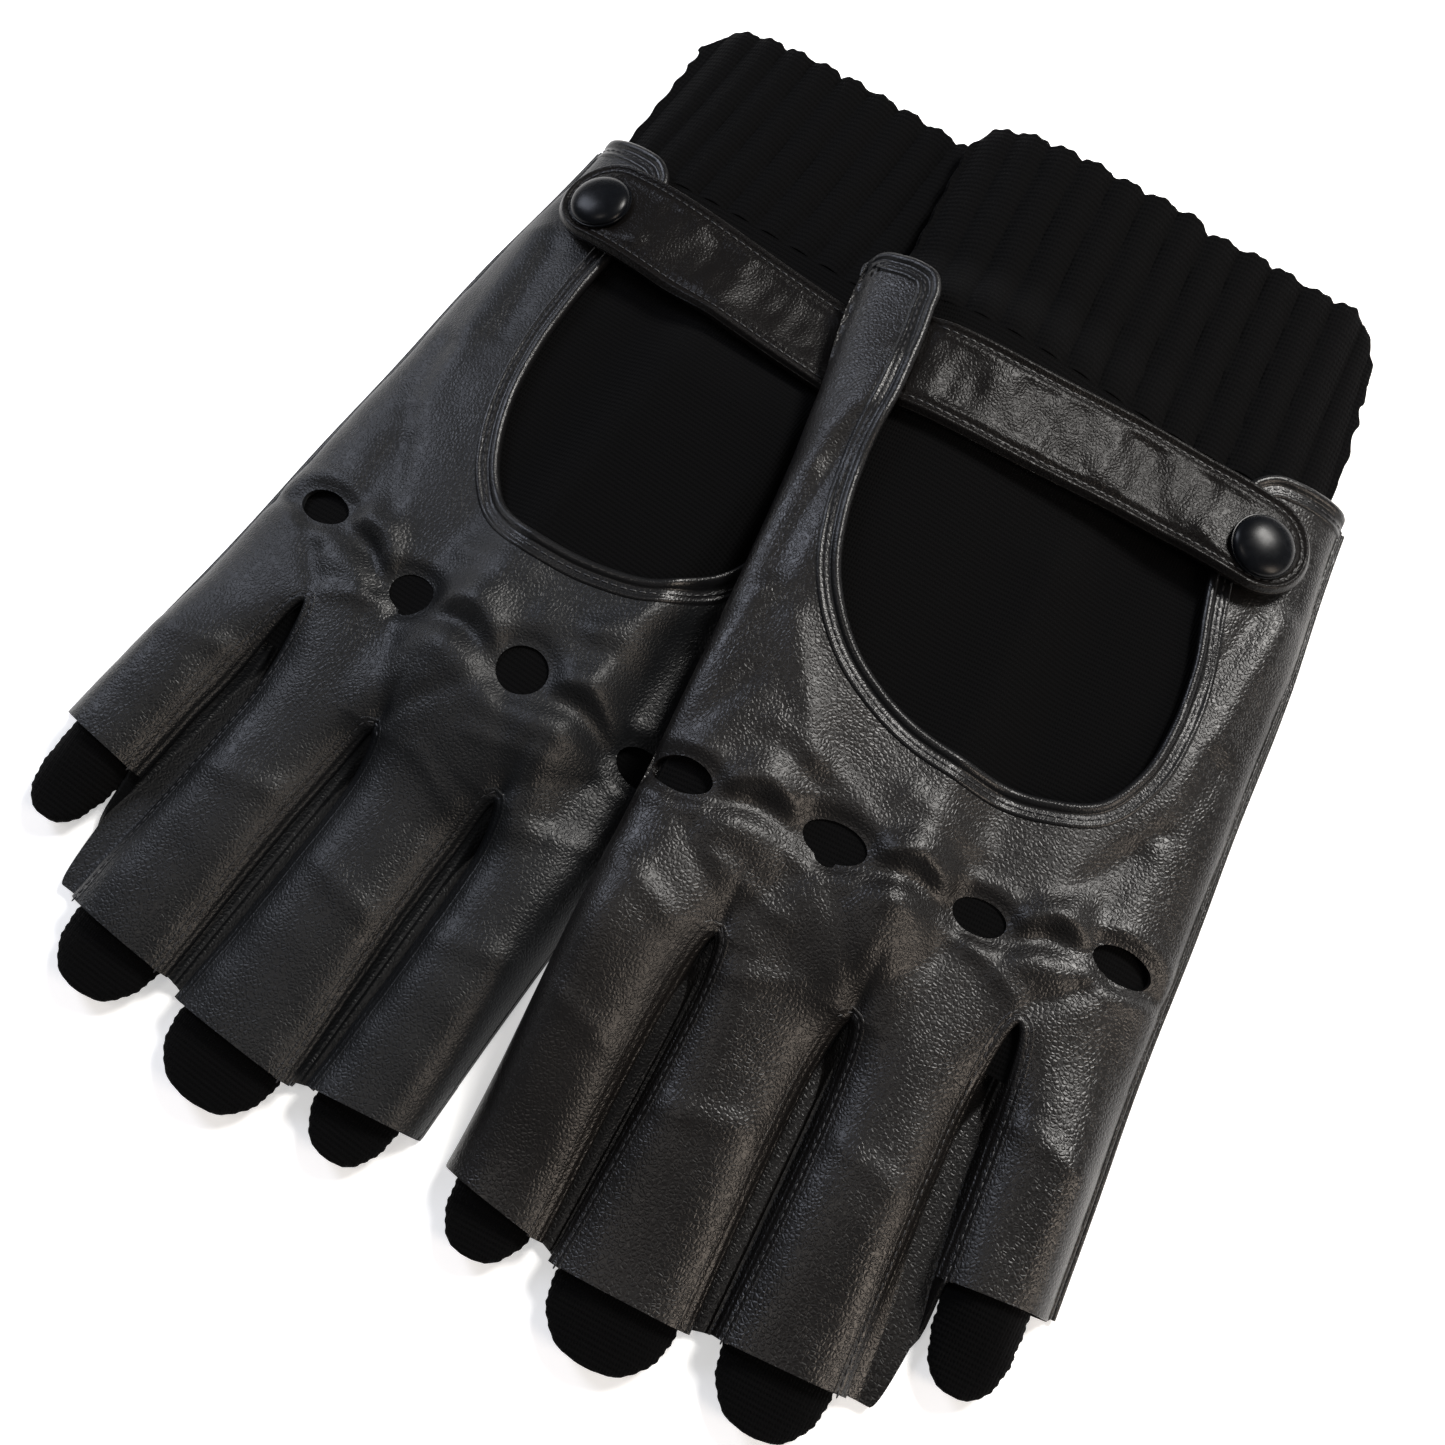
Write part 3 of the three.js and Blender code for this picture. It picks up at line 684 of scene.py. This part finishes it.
def ribs(u, v):
    """Broad rounded ribs with narrow valleys, which wander a little along their length."""
    return np.abs(np.sin(np.pi * (u + 0.5 * np.sin(v / 17)) / RIB)) ** 0.7


for side in SIDES:
    share = np.linspace(0, 1, 74)
    v = CUFF_START_V + (CUFF_TOP_V - CUFF_START_V) * share
    low = mix(-51.3, -52.0, share) + 3.0 * smooth(share, 0.9, 1.0) ** 2
    high = mix(44.3, CUFF_SIDE[side], share) - 2.0 * smooth(share, 0.93, 1.0) ** 2
    low = low + 0.16 * np.sin(v / 1.1)
    high = high + 0.16 * np.sin(v / 1.2)

    def cuff_top(u, v):
        """A low crown across the cuff, with the ribs and loops on it."""
        edge = mix(45, CUFF_SIDE[side], (v - 99) / 40)
        q = np.clip((2 * u + 53 - edge) / (edge + 53), -1, 1)
        crown = mix(2.6, 9.8, (1 - q ** 4) ** 0.6)
        relief = loops(u, v, RIB_WALE, RIB_COURSE, 0.4)
        return lie(side, u, v) + crown - 1.4 + RIB_HEIGHT * ribs(u, v) + relief

    def cuff_bottom(u, v):
        return lie(side, u, v) + 0.9 - 0.6 * ribs(u, v)

    points, faces = pressed_tube(v, low, high, cuff_bottom, cuff_top, 380, 0.9)
    u = points[:, 0]
    end = smooth(points[:, 1], CUFF_TOP_V - 22, CUFF_TOP_V)
    bow = np.interp(u, *np.array(CUFF_BOW[side]).T)
    points[:, 1] += end * (bow + 0.3 * ribs(u, CUFF_TOP_V) + 0.22 * np.sin(2 * np.pi * u / 2.9))
    points, walls = shell(points, faces, CUFF_WALL)
    add_piece("ribbed_cuff", side, points, walls, rib_knit, "glove", "rib_knit", "rib_cuff")

# -------- back leather
# The back of the hand in one skin, with a large D-shaped window over the wrist, four knuckle
# holes that gather the leather between them, a stitched tab that holds the strap's end, and the
# upper sides of the four stalls.

TAB_FOLD = ((-53.6, 76), (-54.9, 82), (-55.9, 88), (-56.6, 94))
TAB_EDGE = ((-56.8, 97.6), (-56.6, 100.2), (-55.0, 101.6), (-50.6, 101.2), (-46.2, 100.4),
            (-42.8, 98.8), (-41.2, 96.0), (-40.7, 92))
WINDOW_EDGE = {
    "left": ((-40.0, 87), (-38.9, 74), (-38.9, 60), (-37.2, 48.5), (-33.0, 36.5), (-24.0, 25.8),
             (-11.0, 19.6), (4.0, 17.3), (17.0, 18.6), (26.5, 22.8), (31.4, 31.5), (33.0, 43),
             (32.2, 56), (29.6, 67), (27.6, 78), (27.2, 92)),
    "right": ((-40.2, 87), (-39.4, 74), (-38.6, 56), (-36.5, 40), (-31.5, 26.5), (-23.7, 18.9),
              (-15.0, 15.9), (-6.0, 14.6), (3.9, 14.8), (10.6, 17.5), (15.4, 22.0), (20.2, 29.6),
              (24.1, 40), (26.3, 51), (27.0, 62), (27.0, 78), (27.2, 92)),
}
WRIST_EDGE = ((28.4, 95.6), (31.4, 98.2), (36, 99.3), (42, 100.0), (47.2, 100.4))
KNUCKLES = {
    "left": ((-41.0, -7.6), (-12.4, -5.6), (15.4, -4.9), (41.2, -1.0)),
    "right": ((-41.0, -8.4), (-14.6, -7.6), (13.2, -6.0), (39.0, -0.8)),
}
KNUCKLE_RADII = {
    "left": ((5.8, 3.1), (6.0, 3.5), (5.0, 3.2), (5.8, 3.1)),
    "right": ((5.0, 3.4), (4.9, 4.6), (4.5, 3.8), (5.4, 3.4)),
}
BACK_GRID = 0.62
TAB_RISE = 2.3
CREST_HEIGHT = 1.9
VALLEY_DEPTH = 1.35
RIDGE_HEIGHT = 1.0
HOLE_DIP = 0.9
# Folds pressed into the skin: where each starts and ends, its half width and its height.
FOLDS = (
    ((-50, 2), (-45, 28), 3.4, 0.8), ((-47, 55), (-42, 80), 2.8, 0.8), ((33, 4), (42, 40), 3.4, -0.9),
    ((37, 22), (44, 72), 3.2, 0.9), ((34, 48), (38, 70), 2.2, -0.5), ((-22, 6), (-36, 26), 3.0, 0.8),
    ((27, 5), (38, 24), 2.4, -0.7), ((-23, -26), (-13, -10), 2.2, -0.4), ((3, -27), (13, -12), 2.2, -0.4),
    ((29, -15), (40, -5), 2.0, -0.6), ((-25, -26), (-40, -12), 2.2, -0.4), ((2, -27), (-11, -11), 2.2, -0.4),
    ((27, -15), (16, -10), 1.8, 0.5), ((-48, -24), (-30, -31), 2.2, 0.45), ((10, -50), (24, -53), 2.4, 0.35),
    ((-18, -58), (-4, -55), 2.4, 0.35), ((-44, -50), (-30, -54), 2.4, 0.4), ((36, -34), (49, -37), 2.2, 0.4),
    ((-18, -34), (-8, -30), 2.0, 0.35), ((-47, -8), (-38, 14), 2.6, -0.6), ((-30, -18), (-14, -22), 1.8, 0.3),
    ((-49, 26), (-49, 62), 3.0, 1.2), ((-43, 34), (-43, 66), 2.2, -0.7), ((-46, -9), (-54, -14), 1.8, -0.7),
    ((46, -3), (52, -4), 1.8, -0.7), ((-30, 8), (-12, 3), 2.6, 0.5), ((-4, 8), (10, 6), 2.6, 0.5),
)


def ripple(u, v, length, seed):
    """Gentle unevenness: the mean of six waves of about that length, in fixed random directions."""
    draw = np.random.default_rng(seed)
    angles = draw.uniform(0, 6.28, 6)
    phases = draw.uniform(0, 6.28, 6)
    stretches = draw.uniform(0.7, 1.4, 6)
    total = np.zeros_like(u)
    for angle, phase, stretch in zip(angles, phases, stretches):
        along = u * math.cos(angle) + v * math.sin(angle)
        total += np.sin(2 * np.pi * along / (length * stretch) + phase)
    return total / 6


def tab_rise(u, v):
    """The tab stands over the sewn end of the strap."""
    return TAB_RISE * smooth(v, 56, 69) * (1 - smooth(u, -36, -30))


def back_relief(side, u, v):
    """What the plain crowned back gains: between each two knuckle holes an arched crest with a valley
    and a lower ridge below it, a dip into each hole, pressed folds, and gentle unevenness."""
    points = np.c_[u.ravel(), v.ravel()]
    relief = np.zeros_like(u)
    holes = list(zip(KNUCKLES[side], KNUCKLE_RADII[side]))
    for ((u0, v0), (low_radius, _)), ((u1, v1), (high_radius, _)) in zip(holes, holes[1:]):
        t = (u - u0 - low_radius) / (u1 - high_radius - u0 - low_radius)
        hump = np.sin(np.pi * np.clip(t, 0, 1))
        past = v - mix(v0, v1, t) - 1.0 - 3.4 * hump
        crest = CREST_HEIGHT * bell(np.where(past > 0, past * 0.42, past), 2.1)
        valley = VALLEY_DEPTH * bell(past + 4.5, 2.5)
        relief += hump * (crest - valley + RIDGE_HEIGHT * bell(past + 9.6, 3.2))
    for (centre_u, centre_v), (across, along) in holes:
        out = np.hypot((u - centre_u) / across, (v - centre_v) / along) - 1
        relief += -HOLE_DIP * bell(out.clip(0), 0.45) + 0.3 * bell(out - 0.9, 0.5)
    for start, end, width, height in FOLDS:
        gap = nearest(points, np.array([start, end], float))[0].reshape(u.shape)
        relief += height * bell(gap, width)
    seed = 3 if side == "left" else 8
    return relief + 0.55 * ripple(u, v, 30, seed) + 0.15 * ripple(u, v, 11, seed + 1)


def back_height(side, u, v):
    """Height of the back leather's outside."""
    return lie(side, u, v) + glove_height(u, v) + tab_rise(u, v) + back_relief(side, u, v)


def oval(centre, radii, steps=40):
    """A closed oval line."""
    angle = np.linspace(0, 2 * np.pi, steps + 1)
    return np.c_[centre[0] + radii[0] * np.cos(angle), centre[1] + radii[1] * np.sin(angle)]


window_line = {side: curve(TAB_EDGE + WINDOW_EDGE[side] + WRIST_EDGE, 0.8) for side in SIDES}

for side in SIDES:
    outline = np.concatenate([
        side_points(ulnar_edge, WRIST_V, -59.5, 26),
        stall_points(),
        side_points(radial_edge, -82, WRIST_V - 26, 28),
        np.array(TAB_FOLD),
        window_line[side],
        side_points(ulnar_edge, WRIST_V, WRIST_V - 0.1, 2),
    ])
    holes = [oval(centre, radii) for centre, radii in zip(KNUCKLES[side], KNUCKLE_RADII[side])]
    flat, faces = cut_piece([outline] + holes, BACK_GRID)
    z = back_height(side, *flat.T)
    points, walls = shell(np.c_[flat, z], faces, LEATHER)
    add_piece("back_leather", side, points, walls, glove_leather[side], "glove", "leather", "back_panel")

# -------- fourchettes
# Narrow folded strips of the same skin that line the walls of each slit and make the sides of the
# stalls. Between ring and little finger both walls show, in the others mostly one.

# Where each strip's fold lies across its slit, and how deep it hangs.
FOLD_AT = (0.3, 0.3, 0.5)
FOLD_DEPTH = 4.6
CROTCH_DEPTH = 1.2
STRIP = 0.7
STRIP_LOWEST = 1.9
STRIP_ROWS = 90
STRIP_COLUMNS = 30

for side in SIDES:
    for slit in range(3):
        s = np.linspace(0, 1, STRIP_ROWS)[:, None] ** 1.5
        t = np.linspace(0, 1, STRIP_COLUMNS)[None, :]
        crotch_v = CROTCHES[slit][1] + 1.4
        # The strip beside the little finger hangs to the ring finger's end before it turns up.
        turn = smooth(t, 0.4, 1.0) if slit == 2 else t
        end_v = mix(STALL_ENDS[slit][1][1], STALL_ENDS[slit + 1][0][1], turn) + 0.4
        v = mix(crotch_v, end_v, s)
        u = mix(slit_wall(slit, 0, v) - 0.9, slit_wall(slit, 1, v) + 0.9, t)
        if slit == 2:
            u = u + 2.2 * np.sin(np.pi * t) * smooth(s, 0.5, 1.0)
        first_wall = np.clip(t / FOLD_AT[slit], 0, 1)
        second_wall = np.clip((1 - t) / (1 - FOLD_AT[slit]), 0, 1)
        fold = np.minimum(first_wall ** 0.8, second_wall ** 1.1)
        crease = 0.5 * bell(t - 0.62, 0.05) * smooth(s, 0.1, 0.3)
        depth = mix(CROTCH_DEPTH, FOLD_DEPTH, smooth(s, 0, 0.35))
        z = glove_height(u, v) - LEATHER - 0.15 - depth * fold + crease
        z = lie(side, u, v) + np.maximum(z, STRIP_LOWEST)
        points, walls = shell(listed(u, v, z), sheet_grid(*u.shape), STRIP)
        add_piece("fourchette_strip_" + SLITS[slit], side, points, walls, glove_leather[side],
                  "glove", "leather", "fourchette_" + SLITS[slit])

# -------- edge binding and welts
# A rolled strip of skin with a stitched land is sewn round the window, the tab and the wrist edge.
# Narrow welts run round each slit, and two more down the little finger's side, where back and
# palm are joined.

STRIP_SKIN = 0.35
SIDE_WELTS = (("upper", 0.0, 1.75, 0.62), ("lower", 0.95, 0.75, 0.55))
binding_leather = lambskin("black_rolled_binding", "#0b0b0c", "#121213", 0.3, 0.6, 0.5)


def direction(line):
    """The unit direction of a line at each of its points."""
    tangent = np.gradient(line, axis=0)
    return tangent / np.linalg.norm(tangent, axis=1, keepdims=True)


def beside(line, distance):
    """A line moved sideways, to the right of its direction."""
    tangent = direction(line)
    return line + distance * np.c_[tangent[:, 1], -tangent[:, 0]]


def laid_strip(side, line, section, fade=0):
    """A strip along a line on the back, whose section's points are (offset to the right, height above
    the skin). Where fade is given, the section grows to full size over that many steps."""
    grown = smooth(np.arange(len(line)), -3, fade)[:, None] if fade else 1.0
    rightward = beside(line, 1.0) - line
    rows = line[:, None] + (section[:, 0] * grown)[..., None] * rightward[:, None]
    z = back_height(side, rows[..., 0], rows[..., 1]) + section[:, 1] * grown
    points = np.concatenate([rows, z[..., None]], -1).reshape(-1, 3)
    return shell(points, sheet_grid(len(line), len(section))[:, ::-1], STRIP_SKIN)


def rolled(path, radius, sides=12):
    """A round cord of skin along a path, with closed ends."""
    tangent = direction(path)
    across = np.cross(tangent, (0, 0, 1.0))
    across /= np.linalg.norm(across, axis=1, keepdims=True)
    up = np.cross(across, tangent)
    angle = np.linspace(0, 2 * np.pi, sides, endpoint=False)[:, None]
    ring = np.cos(angle) * across[:, None] + np.sin(angle) * up[:, None]
    faces = sheet_grid(len(path), sides, closed=True).tolist()
    last = (len(path) - 1) * sides
    faces += [list(range(sides)), [last + i for i in reversed(range(sides))]]
    return (path[:, None] + radius * ring).reshape(-1, 3), faces


def slit_line(slit):
    """The way round a slit, up the wall nearer the little finger and down the other."""
    crotch_u, crotch_v = CROTCHES[slit]
    up = wall_points(slit, 1, 30)[:0:-1]
    down = wall_points(slit, 0, 30)[1:]
    return evenly(np.concatenate([up, [(crotch_u, crotch_v + 0.5)], down]), 0.7)


BINDING_SECTION = curve(((-1.0, -0.9), (-1.08, 0.0), (-0.75, 0.68), (-0.1, 0.98), (0.6, 0.7),
                         (1.0, 0.2), (1.35, 0.16), (1.9, 0.26), (2.5, 0.26), (3.0, 0.42),
                         (3.45, 0.22), (3.7, -0.35)), 0.22)
WELT_SECTION = curve(((-0.45, -1.3), (-0.55, -0.4), (-0.3, 0.12), (0.15, 0.36), (0.6, 0.2), (1.0, 0.0),
                      (1.35, 0.06), (1.75, 0.1), (2.1, -0.3)), 0.2)

for side in SIDES:
    points, faces = laid_strip(side, window_line[side], BINDING_SECTION, 6)
    add_piece("edge_binding", side, points, faces, binding_leather, "glove", "binding", "cutout_binding")

    for slit in range(3):
        points, faces = laid_strip(side, slit_line(slit), WELT_SECTION)
        add_piece("welt_" + SLITS[slit], side, points, faces, glove_leather[side], "glove", "leather")

    v = np.linspace(98.6, -58.8, 220)
    for name, out, height, radius in SIDE_WELTS:
        u = ulnar_edge(v) + out + 0.12 * np.sin(v / 7)
        points, faces = rolled(np.stack([u, v, lie(side, u, v) + height], 1), radius)
        add_piece("side_welt_" + name, side, points, faces, glove_leather[side], "glove", "leather")

# -------- seams
# Single rows of black bonded thread: round the window on the binding's land, and on the back beside
# each slit, along one wall or both.

BINDING_ROW = 1.95
SLIT_ROW = 1.0


def mottled(name, spot, detail, dark, light):
    """A new material whose colour wanders between two tones, in spots of that size in millimetres:
    the material, its nodes, the pattern and the colour."""
    material, tree = new_material(name)
    where = add_node(tree, "ShaderNodeTexCoord").outputs["Object"]
    noise = add_node(tree, "ShaderNodeTexNoise", Vector=where, Scale=1 / (spot * MM), Detail=detail)
    tone = add_node(tree, "ShaderNodeMix", {"data_type": "RGBA"}, _0=noise.outputs[0],
                    _6=linear(dark), _7=linear(light))
    return material, tree, noise.outputs[0], tone.outputs[2]


# Bonded polyester thread: slightly glossy from its coating, its twist drawn as specks of 0.5 mm.
thread, tree, _, tone = mottled("black_bonded_thread", 0.5, 2.0, "#0c0c0d", "#232326")
surface = add_node(tree, "ShaderNodeBsdfPrincipled", Base_Color=tone, Roughness=0.5)
add_node(tree, "ShaderNodeOutputMaterial", Surface=surface.outputs[0])


def stitch_row(path, pitch=1.8, length=1.25, radius=0.2):
    """One small six-sided spindle per stitch, laid along a path of (u, v, z)."""
    middle = evenly(path, pitch)
    tangent = direction(middle)
    across = np.cross(tangent, (0, 0, 1.0))
    up = np.cross(across, tangent)
    along = np.array([-0.5, -0.36, 0, 0.36, 0.5]) * length
    girth = np.array([0.25, 0.8, 1.0, 0.8, 0.25]) * radius
    angle = np.linspace(0, 2 * np.pi, 6, endpoint=False)
    ring = np.cos(angle)[:, None] * across[:, None, None] + np.sin(angle)[:, None] * up[:, None, None]
    points = middle[:, None, None] + along[:, None, None] * tangent[:, None, None]
    points = points + girth[:, None, None] * ring
    one = sheet_grid(5, 6, closed=True)
    caps = np.array([[0, 1, 2, 3], [3, 4, 5, 0], [27, 26, 25, 24], [24, 29, 28, 27]])
    one = np.concatenate([one, caps])
    starts = np.arange(len(middle))[:, None, None] * 30
    return points.reshape(-1, 3), (starts + one).reshape(-1, 4)


def gather(rows):
    """Several rows of stitches as one mesh."""
    points, faces, count = [], [], 0
    for row_points, row_faces in rows:
        points.append(row_points)
        faces.append(row_faces + count)
        count += len(row_points)
    return np.concatenate(points), np.concatenate(faces)


for side in SIDES:
    line = beside(window_line[side], BINDING_ROW)
    rows = [stitch_row(np.c_[line, back_height(side, *line.T) + 0.3])]
    for slit in range(3):
        line = slit_line(slit)
        line = line if slit == 2 else line[:len(line) // 2 + 2]
        line = beside(line, SLIT_ROW)
        path = np.c_[line, back_height(side, *line.T) + 0.08]
        rows.append(stitch_row(path, length=1.2, radius=0.17))
    points, faces = gather(rows)
    add_piece("seam_thread", side, points, faces, thread, "glove", "leather")

# -------- strap
# A folded and stitched leather strap with a lining. Its near end is sewn under the tab, it crosses
# the window's open top, and its round end snaps down on the little finger's side.

STRAP_HALF_WIDTH = 10.0
STRAP_START = -50.5
STRAP_END = (33.2, 82.8)
STRAP_FACE = 2.3
STRAP_SKIN = 1.15
STRAP_LINING = 0.8
STRAP_STITCH = 2.2
strap_leather = lambskin("black_strap_leather", "#090808", "#100e0d", 0.33, 0.7, 0.8, 0.15)
# The lining is the same hide's flesh side: dull, with a short nap in tufts of 0.7 mm.
strap_suede, tree, nap, tone = mottled("black_strap_lining", 0.7, 4.0, "#0e0e0f", "#1c1c1e")
bump = add_node(tree, "ShaderNodeBump", Height=nap, Strength=0.5, Distance=0.1 * MM)
surface = add_node(tree, "ShaderNodeBsdfPrincipled", Base_Color=tone, Roughness=0.8, Normal=bump.outputs[0])
add_node(tree, "ShaderNodeOutputMaterial", Surface=surface.outputs[0])


def strap_middle(side, u):
    """v of the strap's middle line: a shallow bow towards the cuff, or on the right a drift to it."""
    if side == "left":
        return 82 + 2.4 * bell(u - 9, 22)
    return 80.9 + 1.9 * smooth(u, -20, 32)


def cad_height(u, v):
    """Height of the plain hand under the strap, which the strap and snap are set out from."""
    return mix(HAND_CROWN, 3.2, across_hand(u, v) ** 4)


def strap_low(side, u, v):
    """Underside of the strap: on the liner, then up over the snap."""
    return lie(side, u, v) + cad_height(u, v) - 1 + 4.3 * smooth(u, -46, 46)


def strap_plan(side, start, rows, columns, inset=0.0):
    """u, v and the distance from the edge, over a strap from start to its round end."""
    straight = np.linspace(start, STRAP_END[0], rows)[:-1]
    turn = np.linspace(0, np.radians(89), rows // 4)
    half = STRAP_HALF_WIDTH - inset
    u = np.r_[straight, STRAP_END[0] + half * np.sin(turn)][:, None]
    width = np.r_[np.full(len(straight), half), half * np.cos(turn)][:, None]
    t = np.sin(np.linspace(-np.pi / 2, np.pi / 2, columns))[None, :]
    along = np.clip(u, None, STRAP_END[0])
    v = strap_middle(side, along) + width * t
    u = u + 0 * t
    from_end = half - np.hypot(np.clip(u - STRAP_END[0], 0, None), width * t)
    return u, v, np.where(u > STRAP_END[0], from_end, width - np.abs(width * t)).clip(0)


def add_strap_piece(name, side, points, faces, material, slot, *nodes):
    """A piece of the strap, baked in place, which stands for the plain solids; its slot is not used."""
    piece = make_piece(f"{side}_{name}", side, points, faces, material)
    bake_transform(piece)
    if nodes:
        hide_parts(*[f"{side}_{node}" for node in nodes])


for side in SIDES:
    u, v, edge = strap_plan(side, STRAP_START, 170, 56)
    crumple = 0.75 * ripple(u, 0.6 * v, 14, 21) + 0.2 * ripple(u, 0.7 * v, 5.5, 22)
    crumple = crumple * smooth(edge, 3.0, 5.0)
    pucker = 0.07 * np.sin(2 * np.pi * u / 1.8) * bell(edge - 3.3, 0.5)
    roll = 0.28 * bell(edge - 1.0, 0.55) - 0.95 * bell(edge, 0.5) - 0.32 * bell(edge - 2.2, 0.75)
    roll = roll + 0.14 * bell(edge - 3.5, 0.6) + pucker
    z = strap_low(side, u, v) + STRAP_FACE + roll + crumple
    points, walls = shell(listed(u, v, z), sheet_grid(*u.shape), STRAP_SKIN)
    add_strap_piece("strap_leather", side, points, walls, strap_leather, "leather", "strap", "strap_root")

    u, v, _ = strap_plan(side, STRAP_START, 110, 20, 0.25)
    z = strap_low(side, u, v) + STRAP_LINING + 0.05
    points, walls = shell(listed(u, v, z), sheet_grid(*u.shape), STRAP_LINING)
    add_strap_piece("strap_back", side, points, walls, strap_suede, "strap_lining", "strap_lining")

    around = STRAP_HALF_WIDTH - STRAP_STITCH
    straight = np.linspace(-36, STRAP_END[0], 60)
    turn = np.linspace(-np.pi / 2, np.pi / 2, 20)
    end_v = strap_middle(side, STRAP_END[0])
    lower = np.c_[straight, strap_middle(side, straight) - around]
    arc = np.c_[STRAP_END[0] + around * np.cos(turn), end_v + around * np.sin(turn)]
    upper = np.c_[straight, strap_middle(side, straight) + around][::-1]
    line = evenly(np.concatenate([lower, arc[1:-1], upper]), 0.9)
    z = strap_low(side, *line.T) + STRAP_FACE - 0.26
    points, faces = stitch_row(np.c_[line, z], radius=0.19)
    add_strap_piece("strap_thread", side, points, faces, thread, "leather")

# -------- snap
# A press stud: a lacquered brass cap riveted through the strap's end into its socket, and the
# stud set in the leather below.

SNAP_CENTRE = (33.5, 81.2)

# Baked lacquer on brass: smooth and dark, with a broad soft highlight and specks of 1.5 mm.
cap_lacquer, tree, dust, tone = mottled("blue_black_snap_lacquer", 1.5, 3.0, "#060709", "#0a0c10")
gloss = add_node(tree, "ShaderNodeMapRange", Value=dust, _1=0.3, _2=0.7, _3=0.24, _4=0.30)
surface = add_node(tree, "ShaderNodeBsdfPrincipled", Base_Color=tone, Roughness=gloss.outputs[0],
                   Specular_IOR_Level=0.1, Coat_Weight=0.06, Coat_Roughness=0.3)
add_node(tree, "ShaderNodeOutputMaterial", Surface=surface.outputs[0])

# Chemically blackened brass, rubbed brighter in patches of about 1 mm.
dark_brass, tree, _, tone = mottled("blackened_brass", 1.2, 4.0, "#2a2723", "#57503f")
surface = add_node(tree, "ShaderNodeBsdfPrincipled", Base_Color=tone, Metallic=1.0, Roughness=0.36)
add_node(tree, "ShaderNodeOutputMaterial", Surface=surface.outputs[0])


def turned(side, profile, height, sides=48):
    """A profile of (radius, height) turned round the snap's axis and tilted with the strap. A profile
    that returns to its start makes a ring, any other is closed with a flat disc at each end."""
    profile = np.asarray(profile, float)
    ring = np.allclose(profile[0], profile[-1])
    faces = sheet_grid(len(profile), sides, closed=True)[:, ::-1]
    if ring:
        profile = profile[:-1]
        faces = (faces % (len(profile) * sides)).tolist()
    else:
        last = (len(profile) - 1) * sides
        faces = faces.tolist() + [list(reversed(range(sides))), [last + i for i in range(sides)]]
    angle = np.linspace(0, 2 * np.pi, sides, endpoint=False)
    across = profile[:, :1] * np.cos(angle)
    along = profile[:, :1] * np.sin(angle)
    up = profile[:, 1:] + 0 * across
    u, v = SNAP_CENTRE
    heights = strap_low(side, np.array([u + 3.0, u - 3.0]), np.array([v, v]))
    tilt = math.atan((heights[0] - heights[1]) / 6)
    base = strap_low(side, np.array(float(u)), np.array(float(v))) + height
    points = np.stack([u + across * math.cos(tilt) - up * math.sin(tilt), v + along,
                       base + up * math.cos(tilt) + across * math.sin(tilt)], -1)
    return points.reshape(-1, 3), faces


# Profiles as (radius, height): the cap's post, rim and dome, then the socket's ring and the stud.
DOME_RADIUS = 6.1
DOME_RISE = 2.15
dome = np.linspace(0, np.pi / 2, 14)
cap_profile = [(0.1, -2.1), (1.3, -2.1), (1.3, -0.1), (6.0, -0.1), (6.35, 0.0), (6.4, 0.18), (6.3, 0.34),
               (6.12, 0.36)]
cap_profile += [(DOME_RADIUS * math.cos(a) + 0.02, 0.45 + DOME_RISE * math.sin(a)) for a in dome]
socket_profile = [(2.6, -1.6), (5.2, -1.6), (5.2, -0.5), (5.0, -0.3), (1.9, -0.3), (1.9, -0.7), (2.6, -0.7),
                  (2.6, -1.6)]
stud_profile = [(0.1, -2.85), (4.8, -2.85), (4.8, -2.4), (4.5, -2.2), (1.7, -2.2), (1.95, -1.7), (1.8, -1.25),
                (1.2, -1.1), (0.1, -1.1)]

for side in SIDES:
    parts = (
        ("snap_dome", cap_profile, 2.6, cap_lacquer, "strap", "snap_cap", "snap_cap"),
        ("snap_ring", socket_profile, 0.0, dark_brass, "strap", "snap_metal", "snap_socket"),
        ("snap_post", stud_profile, 0.0, dark_brass, "glove", "snap_metal", "snap_stud"),
    )
    for name, profile, height, material, body, slot, node in parts:
        points, faces = turned(side, profile, height)
        add_piece(name, side, points, faces, material, body, slot, node)

low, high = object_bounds()
